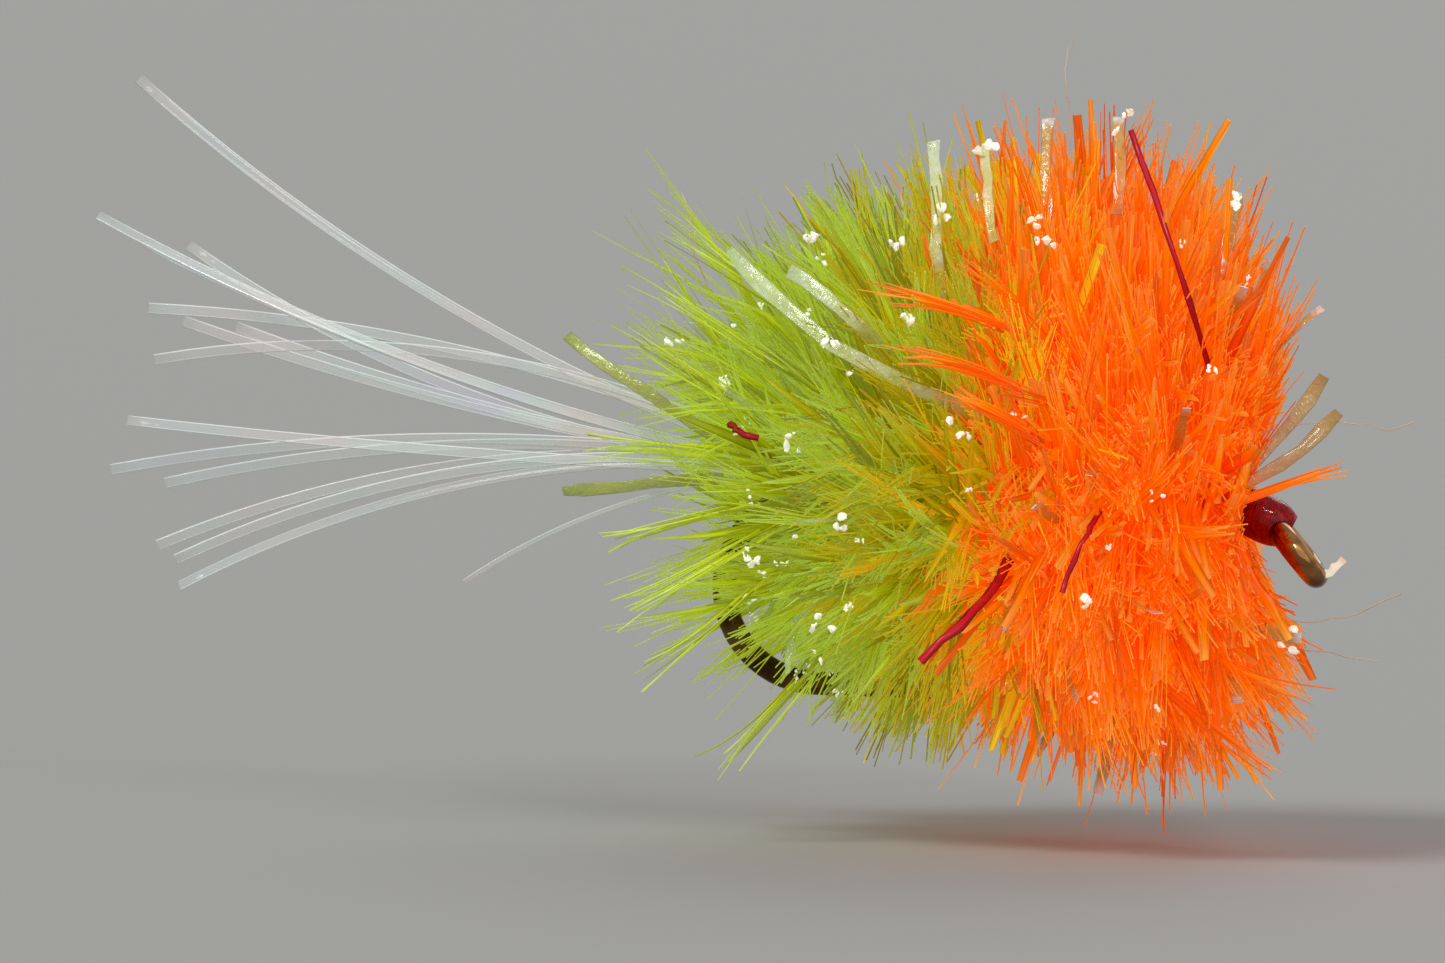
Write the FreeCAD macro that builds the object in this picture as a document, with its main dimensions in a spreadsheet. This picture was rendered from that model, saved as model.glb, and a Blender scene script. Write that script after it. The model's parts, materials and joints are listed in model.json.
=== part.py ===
import FreeCAD, Part
import Sketcher
import math
import os

# A stillwater attractor fly: a down-eye hook, a tail of film strands, two wound
# sections of long-pile chenille and a varnished thread head.
# Origin: centre of the hook's ring eye. +X: forward, the way the fly is pulled.
# +Z: up, with the hook's gape below the shank. Millimetres.

doc = FreeCAD.newDocument("attractor_fly")
sheet = doc.addObject("Spreadsheet::Sheet", "dims")

SIZES = {
    # hook
    "wire_diameter": 0.64,
    "eye_inner_diameter": 0.98,
    "eye_bore_diameter": 1.10,
    "eye_droop": 50.0,
    "neck_length": 0.20,
    "neck_bend_radius": 1.00,
    "shank_length": 11.10,
    "gape": 5.00,
    "spear_length": 4.60,
    "point_length": 1.50,
    "point_tip_diameter": 0.06,
    "barb_length": 0.60,
    "barb_height": 0.20,
    "barb_width": 0.22,
    "barb_crest_share": 0.17,
    # thread
    "thread_layer": 0.08,
    "thread_gap": 0.01,
    "thread_ring_gap": 0.05,
    "thread_head_gap": 0.15,
    # chenille cores
    "core_cord_diameter": 0.40,
    "core_gap": 0.01,
    "green_turns": 5,
    "orange_turns": 6,
    "section_gap": 0.30,
    "body_front_gap": 0.50,
    "body_rear_overhang": 0.15,
    # pile
    "green_pile_radius": 8.00,
    "orange_pile_radius": 8.30,
    "pile_lift": 1.30,
    "pile_turn_gap": 0.16,
    "pile_core_gap": 0.12,
    "pile_hook_gap": 0.10,
    "pile_tail_gap": 0.35,
    "green_rear_sweep": 3.60,
    "joint_sweep": 0.10,
    "orange_front_sweep": 1.30,
    # tail
    "strand_width": 0.30,
    "strand_thickness": 0.07,
    "strand_spacing": 0.15,
    "strand_fan": 2.00,
    "tail_tie_gap": 0.12,
    "tail_seat_gap": 0.03,
    # head
    "head_length": 1.60,
    "head_diameter": 1.30,
    "head_end_share": 0.60,
    "head_flat_share": 0.35,
    "varnish_thickness": 0.07,
    "varnish_gap": 0.01,
}

# One row for each film strand of the tail, from the far side to the near side:
# length, rise at the tie-in and rise at the tip in degrees.
STRANDS = [
    ("01", 18.0, 4.0, -29.0),
    ("02", 18.2, 6.5, -24.0),
    ("03", 18.5, 22.0, 0.5),
    ("04", 17.9, 2.0, 33.0),
    ("05", 17.2, 5.0, 17.5),
    ("06", 20.7, 16.5, 40.0),
    ("07", 17.9, 27.0, -11.5),
    ("08", 20.0, 9.0, 27.0),
    ("09", 18.5, 9.0, -12.0),
    ("10", 18.0, 0.5, 5.0),
    ("11", 17.1, 8.0, -26.5),
    ("12", 9.7, -2.5, -35.0),
]

row = 0
for name, size in SIZES.items():
    row += 1
    sheet.set("A%d" % row, name)
    sheet.set("B%d" % row, str(size))
    sheet.setAlias("B%d" % row, name)
for tag, length, rise_root, rise_tip in STRANDS:
    for what, size in (("length", length), ("rise_root", rise_root), ("rise_tip", rise_tip)):
        row += 1
        name = "strand_%s_%s" % (tag, what)
        sheet.set("A%d" % row, name)
        sheet.set("B%d" % row, str(size))
        sheet.setAlias("B%d" % row, name)
doc.recompute()

# Lengths that several pieces share, written as expressions on the sheet's cells.
WIRE_R = "(dims.wire_diameter / 2)"
RING_R = "((dims.eye_inner_diameter + dims.wire_diameter) / 2)"
NECK = "(%s + dims.neck_length)" % RING_R
NECK_RISE = "(dims.neck_bend_radius * (1 - cos(dims.eye_droop * 1deg)))"
SHANK_Z = "(%s * sin(dims.eye_droop * 1deg) + %s)" % (NECK, NECK_RISE)
SHANK_X = "(-%s * cos(dims.eye_droop * 1deg) - dims.neck_bend_radius * sin(dims.eye_droop * 1deg))" % NECK
BEND_X = "(%s - dims.shank_length)" % SHANK_X
POINT_Z = "(%s - dims.gape)" % SHANK_Z
THREAD_R = "(%s + dims.thread_gap + dims.thread_layer)" % WIRE_R
CORE_R = "(%s + dims.core_gap + dims.core_cord_diameter / 2)" % THREAD_R
CORE_OUT_R = "(%s + dims.core_gap + dims.core_cord_diameter)" % THREAD_R
BODY_LENGTH = "(dims.shank_length - dims.body_front_gap + dims.body_rear_overhang)"
TURN_PITCH = "((%s - dims.section_gap) / (dims.green_turns + dims.orange_turns))" % BODY_LENGTH
ORANGE_FRONT_X = "(%s - dims.body_front_gap)" % SHANK_X
ORANGE_REAR_X = "(%s - dims.orange_turns * %s)" % (ORANGE_FRONT_X, TURN_PITCH)
GREEN_FRONT_X = "(%s - dims.section_gap)" % ORANGE_REAR_X
GREEN_REAR_X = "(%s - dims.green_turns * %s)" % (GREEN_FRONT_X, TURN_PITCH)
TAIL_X = "(%s - dims.tail_tie_gap)" % GREEN_REAR_X
TAIL_Z = "(%s + %s + dims.tail_seat_gap + dims.strand_width / 2)" % (SHANK_Z, THREAD_R)
TAIL_HALF_SPREAD = "(%g * dims.strand_spacing)" % ((len(STRANDS) - 1) / 2)


def bind(item, **expressions):
    """Ties properties of an object to expressions on the sheet."""
    for prop, expression in expressions.items():
        item.setExpression(prop, expression)


def place(item, x="0", y="0", z="0"):
    """Ties an object's position to expressions in millimetres."""
    item.setExpression("Placement.Base.x", x)
    item.setExpression("Placement.Base.y", y)
    item.setExpression("Placement.Base.z", z)


def value(expression):
    """The number an expression on the sheet stands for now."""
    result = sheet.evalExpression(expression)
    return float(getattr(result, "Value", result))


def turned(item, axis, degrees):
    item.Placement = FreeCAD.Placement(FreeCAD.Vector(0, 0, 0), FreeCAD.Rotation(axis, degrees))


X_AXIS = FreeCAD.Vector(1, 0, 0)
Y_AXIS = FreeCAD.Vector(0, 1, 0)
Z_AXIS = FreeCAD.Vector(0, 0, 1)
parts = []


def keep(item, label):
    item.Label = label
    parts.append(item)
    return item


def sketch_on(body, name, plane):
    """A sketch on one of a body's own origin planes."""
    sketch = body.newObject("Sketcher::SketchObject", name)
    face = [f for f in body.Origin.OriginFeatures if f.Role == plane][0]
    sketch.AttachmentSupport = [(face, "")]
    sketch.MapMode = "FlatFace"
    return sketch


def fix_point(sketch, line, end, name, x, z):
    """Holds one end of a line at a place given by two expressions."""
    for kind, expression in (("DistanceX", x), ("DistanceY", z)):
        constraint = Sketcher.Constraint(kind, -1, 1, line, end, value(expression))
        number = sketch.addConstraint(constraint)
        sketch.renameConstraint(number, name + kind[-1])
        sketch.setExpression("Constraints." + name + kind[-1], expression)


def outline(sketch, corners):
    """A closed outline of straight lines; each corner is a pair of expressions."""
    count = len(corners)
    points = [FreeCAD.Vector(value(x), value(z), 0) for x, z in corners]
    for k in range(count):
        sketch.addGeometry(Part.LineSegment(points[k], points[(k + 1) % count]), False)
    for k in range(count):
        sketch.addConstraint(Sketcher.Constraint("Coincident", k, 2, (k + 1) % count, 1))
        fix_point(sketch, k, 1, "corner%d" % k, *corners[k])


# ---------------------------------------------------------------- hook
def size_of(sketch, kind, geometry, name, expression):
    """Gives one line or arc of a sketch a length or a radius from the sheet."""
    number = sketch.addConstraint(Sketcher.Constraint(kind, geometry, value(expression)))
    sketch.renameConstraint(number, name)
    sketch.setExpression("Constraints." + name, expression)


def wire_path(name, spear):
    """The wire's centre line, in the hook's own upright plane: the neck rises from the
    ring, bends over into the shank, goes round the bend and comes back as the spear."""
    path = doc.addObject("Sketcher::SketchObject", name)
    path.Placement = FreeCAD.Placement(FreeCAD.Vector(0, 0, 0), FreeCAD.Rotation(X_AXIS, 90))
    droop = math.radians(value("dims.eye_droop"))
    ring = value(RING_R)
    neck = value(NECK)
    neck_bend = value("dims.neck_bend_radius")
    shank_x = value(SHANK_X)
    shank_z = value(SHANK_Z)
    bend_x = value(BEND_X)
    bend = value("dims.gape / 2")
    quarter = math.pi / 2
    point = FreeCAD.Vector
    up = FreeCAD.Vector(0, 0, 1)
    ring_back = point(-ring * math.cos(droop), ring * math.sin(droop), 0)
    neck_top = point(-neck * math.cos(droop), neck * math.sin(droop), 0)
    shank_front = point(shank_x, shank_z, 0)
    shank_rear = point(bend_x, shank_z, 0)
    spear_rear = point(bend_x, shank_z - 2 * bend, 0)
    spear_front = point(bend_x + value(spear), shank_z - 2 * bend, 0)
    neck_circle = Part.Circle(point(shank_x, shank_z - neck_bend, 0), up, neck_bend)
    bend_circle = Part.Circle(point(bend_x, shank_z - bend, 0), up, bend)
    path.addGeometry(Part.LineSegment(ring_back, neck_top), False)
    path.addGeometry(Part.ArcOfCircle(neck_circle, quarter - droop, quarter), False)
    path.addGeometry(Part.LineSegment(shank_front, shank_rear), False)
    path.addGeometry(Part.ArcOfCircle(bend_circle, quarter, 3 * quarter), False)
    path.addGeometry(Part.LineSegment(spear_rear, spear_front), False)
    path.addConstraint(Sketcher.Constraint("Tangent", 0, 2, 1, 1))
    path.addConstraint(Sketcher.Constraint("Tangent", 1, 2, 2, 1))
    path.addConstraint(Sketcher.Constraint("Tangent", 2, 2, 3, 1))
    path.addConstraint(Sketcher.Constraint("Tangent", 3, 2, 4, 1))
    path.addConstraint(Sketcher.Constraint("Horizontal", 2))
    path.addConstraint(Sketcher.Constraint("Horizontal", 4))
    fix_point(path, 0, 1, "ring_back", "-%s * cos(dims.eye_droop * 1deg)" % RING_R,
              "%s * sin(dims.eye_droop * 1deg)" % RING_R)
    size_of(path, "Distance", 0, "neck_length", "dims.neck_length")
    size_of(path, "Radius", 1, "neck_bend", "dims.neck_bend_radius")
    size_of(path, "Distance", 2, "shank", "dims.shank_length")
    size_of(path, "Radius", 3, "bend", "dims.gape / 2")
    size_of(path, "Distance", 4, "spear", spear)
    return path


def wire_along(name, spear, radius):
    """A round wire of a given radius along the hook's centre line."""
    path = wire_path(name + "_path", spear)
    section = doc.addObject("Part::Circle", name + "_section")
    bind(section, Radius=radius)
    turned(section, Y_AXIS, value("dims.eye_droop") - 90)
    section.setExpression("Placement.Rotation.Angle", "(dims.eye_droop - 90) * 1deg")
    place(section, "-%s * cos(dims.eye_droop * 1deg)" % RING_R, "0",
          "%s * sin(dims.eye_droop * 1deg)" % RING_R)
    doc.recompute()
    sweep = doc.addObject("Part::Sweep", name)
    sweep.Sections = [section]
    sweep.Spine = (path, ["Edge%d" % (k + 1) for k in range(5)])
    sweep.Solid = True
    sweep.Frenet = True
    return sweep


wire = wire_along("hook_wire", "dims.spear_length - dims.point_length", WIRE_R)

ring = doc.addObject("Part::Torus", "hook_ring")
bind(ring, Radius1=RING_R, Radius2=WIRE_R)
turned(ring, Y_AXIS, value("dims.eye_droop"))
ring.setExpression("Placement.Rotation.Angle", "dims.eye_droop * 1deg")

point = doc.addObject("Part::Cone", "hook_point")
bind(point, Radius1=WIRE_R, Radius2="dims.point_tip_diameter / 2", Height="dims.point_length")
turned(point, Y_AXIS, 90)
place(point, "%s + dims.spear_length - dims.point_length" % BEND_X, "0", POINT_Z)

# The barb is cut up from the top of the spear: a wedge that is tallest at its rear edge.
barb = doc.addObject("Part::Wedge", "hook_barb")
barb.Xmin = 0
barb.Ymin = 0
barb.Zmin = 0
barb.Z2min = 0
barb.X2min = 0
bind(barb, Xmax="dims.barb_length", X2max="dims.barb_length * dims.barb_crest_share",
     Ymax="%s + dims.barb_height" % WIRE_R, Zmax="dims.barb_width", Z2max="dims.barb_width")
turned(barb, X_AXIS, 90)
place(barb, "%s + dims.spear_length - dims.point_length - dims.barb_length" % BEND_X,
      "dims.barb_width / 2", POINT_Z)

# The ring is reamed, so that the line runs on a smooth land.
ream = doc.addObject("Part::Cylinder", "eye_ream")
bind(ream, Radius="dims.eye_bore_diameter / 2", Height="2 * dims.wire_diameter")
turned(ream, Y_AXIS, value("dims.eye_droop"))
ream.setExpression("Placement.Rotation.Angle", "dims.eye_droop * 1deg")
place(ream, "-dims.wire_diameter * sin(dims.eye_droop * 1deg)", "0",
      "-dims.wire_diameter * cos(dims.eye_droop * 1deg)")

hook_blank = doc.addObject("Part::MultiFuse", "hook_blank")
hook_blank.Shapes = [wire, ring, point, barb]
hook = doc.addObject("Part::Cut", "hook_cut")
hook.Base = hook_blank
hook.Tool = ream
keep(hook, "hook")


# ---------------------------------------------------------------- thread on the shank
def sleeve(label, inner, outer, x, length):
    """A round sleeve about the shank."""
    body = doc.addObject("PartDesign::Body", label + "_body")
    sketch = sketch_on(body, label + "_profile", "XZ_Plane")
    outline(sketch, [("0", inner), (length, inner), (length, outer), ("0", outer)])
    turn = body.newObject("PartDesign::Revolution", label + "_turn")
    turn.Profile = sketch
    turn.ReferenceAxis = (sketch, ["H_Axis"])
    turn.Angle = 360
    place(body, x, "0", SHANK_Z)
    return keep(body, label)


sleeve("thread_base", "%s + dims.thread_gap" % WIRE_R, THREAD_R, GREEN_REAR_X,
       "%s - dims.thread_head_gap - %s" % (ORANGE_FRONT_X, GREEN_REAR_X))


# ---------------------------------------------------------------- chenille cores
def core(label, rear_x, turns):
    """The twisted cord of the chenille, wound round the shank in open turns."""
    helix = doc.addObject("Part::Helix", label + "_helix")
    bind(helix, Radius=CORE_R, Pitch=TURN_PITCH,
         Height="%s * %s - dims.core_cord_diameter" % (TURN_PITCH, turns))
    section = doc.addObject("Part::Circle", label + "_section")
    bind(section, Radius="dims.core_cord_diameter / 2")
    turned(section, X_AXIS, 90)
    place(section, CORE_R)
    doc.recompute()
    sweep = doc.addObject("Part::Sweep", label + "_sweep")
    sweep.Sections = [section]
    sweep.Spine = (helix, ["Edge1"])
    sweep.Solid = True
    sweep.Frenet = True
    turned(sweep, Y_AXIS, 90)
    place(sweep, "%s + dims.core_cord_diameter / 2" % rear_x, "0", SHANK_Z)
    return keep(sweep, label)


core("green_core", GREEN_REAR_X, "dims.green_turns")
core("orange_core", ORANGE_REAR_X, "dims.orange_turns")

# ---------------------------------------------------------------- pile
# What the pile leaves free: the cores along the shank and the bare wire of the hook.
shank_room = doc.addObject("Part::Cylinder", "shank_room")
bind(shank_room, Radius="%s + dims.pile_core_gap" % CORE_OUT_R,
     Height="%s - %s + 2 * %s" % (ORANGE_FRONT_X, GREEN_REAR_X, TURN_PITCH))
turned(shank_room, Y_AXIS, 90)
place(shank_room, "%s - %s" % (GREEN_REAR_X, TURN_PITCH), "0", SHANK_Z)
hook_room = wire_along("hook_room", "dims.spear_length + dims.pile_hook_gap",
                       "%s + dims.barb_height + dims.pile_hook_gap" % WIRE_R)
tail_room = doc.addObject("Part::Cylinder", "tail_room")
bind(tail_room, Radius="%s + dims.strand_width / 2 + dims.pile_tail_gap" % TAIL_HALF_SPREAD,
     Height="4 * %s + dims.pile_tail_gap" % TURN_PITCH)
turned(tail_room, Y_AXIS, -90)
place(tail_room, "%s + dims.pile_tail_gap" % GREEN_REAR_X, "0", TAIL_Z)
pile_room = doc.addObject("Part::MultiFuse", "pile_room")
pile_room.Shapes = [shank_room, hook_room, tail_room]


def pile(label, rear_x, turn, sweep_rear, sweep_front, radius):
    """The pile that stands on one turn: a dished disc about the shank, trimmed to a
    round outline that sits a little higher than the shank."""
    body = doc.addObject("PartDesign::Body", label + "_disc")
    sketch = sketch_on(body, label + "_profile", "XZ_Plane")
    reach = "(%s + 2 * dims.pile_lift)" % radius
    scale = "%s / %s" % (reach, radius)
    front = "%s - dims.pile_turn_gap" % TURN_PITCH
    outline(sketch, [
        ("0", "0"),
        (front, "0"),
        ("%s - (%s) * %s" % (front, sweep_front, scale), reach),
        ("0 - (%s) * %s" % (sweep_rear, scale), reach),
    ])
    spin = body.newObject("PartDesign::Revolution", label + "_spin")
    spin.Profile = sketch
    spin.ReferenceAxis = (sketch, ["H_Axis"])
    spin.Angle = 360
    place(body, "%s + %d * %s + dims.pile_turn_gap / 2" % (rear_x, turn, TURN_PITCH), "0", SHANK_Z)
    trim = doc.addObject("Part::Cylinder", label + "_trim")
    bind(trim, Radius=radius, Height="3 * dims.shank_length")
    turned(trim, Y_AXIS, 90)
    place(trim, "%s - 2 * dims.shank_length" % SHANK_X, "0", "%s + dims.pile_lift" % SHANK_Z)
    trimmed = doc.addObject("Part::Common", label + "_trimmed")
    trimmed.Base = body
    trimmed.Tool = trim
    clear = doc.addObject("Part::Cut", label + "_clear")
    clear.Base = trimmed
    clear.Tool = pile_room
    return keep(clear, label)


def sweep_at(turn, turns, rear, front):
    """How far the pile's tips lean back at the edge before a turn."""
    return "%s + (%s - (%s)) * %d / %s" % (rear, front, rear, turn, turns)


for turn in range(int(value("dims.green_turns"))):
    pile("green_pile_%d" % (turn + 1), GREEN_REAR_X, turn,
         sweep_at(turn, "dims.green_turns", "dims.green_rear_sweep", "dims.joint_sweep"),
         sweep_at(turn + 1, "dims.green_turns", "dims.green_rear_sweep", "dims.joint_sweep"),
         "dims.green_pile_radius")
for turn in range(int(value("dims.orange_turns"))):
    pile("orange_pile_%d" % (turn + 1), ORANGE_REAR_X, turn,
         sweep_at(turn, "dims.orange_turns", "dims.joint_sweep", "(-dims.orange_front_sweep)"),
         sweep_at(turn + 1, "dims.orange_turns", "dims.joint_sweep", "(-dims.orange_front_sweep)"),
         "dims.orange_pile_radius")


# ---------------------------------------------------------------- tail
# Each strand is a flat film on edge. It leaves the tie-in at one rise and reaches its
# tip at another, along a circular arc. The strands stand side by side across the shank
# and fan out behind it, so that they cross in side view and never touch.
middle = (len(STRANDS) - 1) / 2
for number, (tag, length, rise_root, rise_tip) in enumerate(STRANDS):
    label = "tail_strand_" + tag
    cell = "dims.strand_%s_" % tag
    bend_angle = "(%srise_tip - %srise_root)" % (cell, cell)
    curve = "(%slength / (%s * pi / 180))" % (cell, bend_angle)
    body = doc.addObject("PartDesign::Body", label + "_body")
    sketch = sketch_on(body, label + "_section", "YZ_Plane")
    half_wide = "dims.strand_width / 2"
    half_thick = "dims.strand_thickness / 2"
    outline(sketch, [
        ("-" + half_thick, "-" + half_wide),
        (half_thick, "-" + half_wide),
        (half_thick, half_wide),
        ("-" + half_thick, half_wide),
    ])
    centre = FreeCAD.Vector(0, value(curve), 0)
    sketch.addGeometry(Part.LineSegment(centre, centre + FreeCAD.Vector(1, 0, 0)), True)
    fix_point(sketch, 4, 1, "axis_start", "0", curve)
    fix_point(sketch, 4, 2, "axis_end", "1", curve)
    bend = body.newObject("PartDesign::Revolution", label + "_bend")
    bend.Profile = sketch
    bend.ReferenceAxis = (sketch, ["Axis0"])
    bend.setExpression("Angle", "abs(%s) * 1deg" % bend_angle)
    bend.Reversed = value(bend_angle) < 0
    side = number - middle
    yaw = FreeCAD.Rotation(Z_AXIS, side * value("dims.strand_fan"))
    body.Placement = FreeCAD.Placement(FreeCAD.Vector(0, 0, 0),
                                       yaw.multiply(FreeCAD.Rotation(Y_AXIS, rise_root)))
    place(body, TAIL_X, "-(%g) * dims.strand_spacing" % side, TAIL_Z)
    keep(body, label)

# ---------------------------------------------------------------- head
# Thread wraps fill the corner between shank and ring: a barrel about the line from the
# front of the shank to the ring, in a thin shell of varnish.
HEAD_X = "((%s - %s * cos(dims.eye_droop * 1deg)) / 2)" % (SHANK_X, RING_R)
HEAD_Z = "((%s + %s * sin(dims.eye_droop * 1deg)) / 2)" % (SHANK_Z, RING_R)


def barrel(label, grow):
    """The head's outer shape, larger by a given amount all round: a barrel whose two
    ends taper, lying along the line from the shank to the ring."""
    body = doc.addObject("PartDesign::Body", label)
    sketch = sketch_on(body, label + "_profile", "XZ_Plane")
    half = "(dims.head_length / 2 + %s)" % grow
    wide = "(dims.head_diameter / 2 + %s)" % grow
    outline(sketch, [
        ("-%s" % half, "0"),
        (half, "0"),
        (half, "%s * dims.head_end_share" % wide),
        ("%s * dims.head_flat_share" % half, wide),
        ("-%s * dims.head_flat_share" % half, wide),
        ("-%s" % half, "%s * dims.head_end_share" % wide),
    ])
    spin = body.newObject("PartDesign::Revolution", label + "_spin")
    spin.Profile = sketch
    spin.ReferenceAxis = (sketch, ["H_Axis"])
    spin.Angle = 360
    turned(body, Y_AXIS, value("dims.eye_droop / 2"))
    body.setExpression("Placement.Rotation.Angle", "dims.eye_droop / 2 * 1deg")
    place(body, HEAD_X, "0", HEAD_Z)
    return body


thread_room = wire_along("thread_room", "dims.spear_length", "%s + dims.thread_gap" % WIRE_R)
ring_room = doc.addObject("Part::Torus", "ring_room")
bind(ring_room, Radius1=RING_R, Radius2="%s + dims.thread_ring_gap" % WIRE_R)
turned(ring_room, Y_AXIS, value("dims.eye_droop"))
ring_room.setExpression("Placement.Rotation.Angle", "dims.eye_droop * 1deg")
head_room = doc.addObject("Part::Fuse", "head_room")
head_room.Base = thread_room
head_room.Tool = ring_room
head = doc.addObject("Part::Cut", "head_cut")
head.Base = barrel("head_barrel", "0")
head.Tool = head_room
keep(head, "thread_head")

shell = doc.addObject("Part::Cut", "varnish_shell")
shell.Base = barrel("varnish_barrel", "dims.varnish_gap + dims.varnish_thickness")
shell.Tool = barrel("varnish_inside", "dims.varnish_gap")
varnish = doc.addObject("Part::Cut", "varnish_cut")
varnish.Base = shell
varnish.Tool = head_room
keep(varnish, "head_varnish")

# ---------------------------------------------------------------- check and write
doc.recompute()
for item in doc.Objects:
    if "Invalid" in item.State or "Error" in item.State:
        raise RuntimeError("%s failed: %s" % (item.Name, item.State))
for part in parts:
    if part.Shape.isNull() or not part.Shape.isValid() or not part.Shape.Solids:
        raise RuntimeError("%s has no sound solid" % part.Label)
os.makedirs("parts", exist_ok=True)
for part in parts:
    part.Shape.exportStep("parts/%s.step" % part.Label)
    box = part.Shape.BoundBox
    print("%-16s %2d solid %9.3f mm3  x %7.2f..%6.2f  y %6.2f..%5.2f  z %6.2f..%5.2f" % (
        part.Label, len(part.Shape.Solids), part.Shape.Volume,
        box.XMin, box.XMax, box.YMin, box.YMax, box.ZMin, box.ZMax))
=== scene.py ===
# %% [markdown]
# # A stillwater attractor fly, dressed over its measured frame
# The frame holds the hook, the tail and simple discs for the pile. This lesson gives the
# steel its plating, winds the head, and grows the long pile that makes this fly.

# %% Load the frame
import json
import math

import bmesh
import bpy
import numpy as np
from mathutils import Matrix, Vector


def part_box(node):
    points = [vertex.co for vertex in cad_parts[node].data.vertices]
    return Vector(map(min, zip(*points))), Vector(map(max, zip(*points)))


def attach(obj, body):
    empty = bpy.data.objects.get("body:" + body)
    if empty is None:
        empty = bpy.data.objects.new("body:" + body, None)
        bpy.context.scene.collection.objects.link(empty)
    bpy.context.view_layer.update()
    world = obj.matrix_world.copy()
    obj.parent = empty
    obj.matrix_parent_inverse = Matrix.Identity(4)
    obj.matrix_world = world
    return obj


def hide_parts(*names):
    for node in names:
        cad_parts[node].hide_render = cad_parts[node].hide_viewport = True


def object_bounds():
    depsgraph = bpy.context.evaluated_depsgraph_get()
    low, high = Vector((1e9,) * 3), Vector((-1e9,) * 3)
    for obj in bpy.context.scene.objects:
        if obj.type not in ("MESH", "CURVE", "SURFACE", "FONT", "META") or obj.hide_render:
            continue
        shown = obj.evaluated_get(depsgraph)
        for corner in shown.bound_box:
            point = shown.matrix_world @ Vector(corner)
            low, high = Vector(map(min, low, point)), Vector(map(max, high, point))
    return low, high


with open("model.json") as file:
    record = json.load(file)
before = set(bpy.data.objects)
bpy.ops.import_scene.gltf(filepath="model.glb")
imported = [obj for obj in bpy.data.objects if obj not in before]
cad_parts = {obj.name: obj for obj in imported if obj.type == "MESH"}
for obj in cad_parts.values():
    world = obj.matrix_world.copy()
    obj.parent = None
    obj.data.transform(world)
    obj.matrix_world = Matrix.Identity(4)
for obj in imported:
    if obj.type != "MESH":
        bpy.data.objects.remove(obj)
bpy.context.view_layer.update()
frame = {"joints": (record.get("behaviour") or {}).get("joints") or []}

MM = 0.001

# %% [markdown]
# ## Where things are
# Every place comes from the frame. The shank's height is the middle of the thread that
# covers it, and the two chenille cores say where each coloured section starts and ends.

# %% Measure the frame
def middle(node):
    low, high = (Vector(c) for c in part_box(node))
    return (low + high) / 2


shank_z = middle("thread_base").z / MM
green_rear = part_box("green_core")[0][0] / MM
green_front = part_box("green_core")[1][0] / MM
orange_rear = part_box("orange_core")[0][0] / MM
orange_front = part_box("orange_core")[1][0] / MM
core_radius = (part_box("green_core")[1][2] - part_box("green_core")[0][2]) / 2 / MM
bend_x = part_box("hook")[0][0] / MM
tie_in = Vector(frame["joints"][0]["pos_m"])
print("shank at", round(shank_z, 3), "green", round(green_rear, 2), round(green_front, 2),
      "orange", round(orange_rear, 2), round(orange_front, 2), "core", round(core_radius, 2))

# %% [markdown]
# ## The camera
# A small thing seen close looks flat and undistorted, as through a long lens. The camera
# stands far back on the fly's right side, a little forward and a little above, and is
# rolled so that the hook hangs slightly nose down.

# %% Place the camera
VIEW_WIDTH = 38.0 * MM
VIEW_CENTRE = Vector((-15.15, 0.0, 1.35)) * MM
AZIMUTH = math.radians(3.5)
ELEVATION = math.radians(3.0)
ROLL = math.radians(1.7)
DISTANCE = 0.4

camera_data = bpy.data.cameras.new("camera")
camera_data.sensor_width = 36.0
camera_data.lens = 36.0 * DISTANCE / VIEW_WIDTH
camera_data.clip_start = 0.01
camera = bpy.data.objects.new("camera", camera_data)
bpy.context.scene.collection.objects.link(camera)
bpy.context.scene.camera = camera
towards = Vector((math.sin(AZIMUTH) * math.cos(ELEVATION),
                  -math.cos(AZIMUTH) * math.cos(ELEVATION),
                  math.sin(ELEVATION)))
camera.location = VIEW_CENTRE + DISTANCE * towards
aim = (-towards).to_track_quat("-Z", "Y").to_matrix().to_4x4()
camera.matrix_world = Matrix.Translation(camera.location) @ aim @ Matrix.Rotation(ROLL, 4, "Z")
print("lens", round(camera_data.lens), "mm")

# %% [markdown]
# ## Finishes
# One helper makes a plain material, and each finish then adds what the real one shows.
# Constants go straight on the shader's own sockets.

# %% A plain material
def new_finish(name, **sockets):
    """A material with one Principled shader and the given socket values."""
    finish = bpy.data.materials.new(name)
    finish.use_nodes = True
    shader = finish.node_tree.nodes["Principled BSDF"]
    for socket, amount in sockets.items():
        shader.inputs[socket].default_value = amount
    return finish, finish.node_tree, shader


print("a finish starts as a Principled shader")

# %% [markdown]
# Colour ramps, noise, blends and fine relief come back in most finishes, so each has a
# helper that adds its nodes and hands back the output to link on. Noise reads Object
# coordinates, which stay put when a piece is exported.

# %% Nodes that finishes share
def ramp(tree, stops, factor):
    """A colour ramp through (place, colour) stops."""
    node = tree.nodes.new("ShaderNodeValToRGB")
    while len(node.color_ramp.elements) < len(stops):
        node.color_ramp.elements.new(0.5)
    for element, (place, colour) in zip(node.color_ramp.elements, stops):
        element.position = place
        element.color = (*colour, 1.0)
    tree.links.new(factor, node.inputs["Fac"])
    return node.outputs["Color"]


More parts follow.
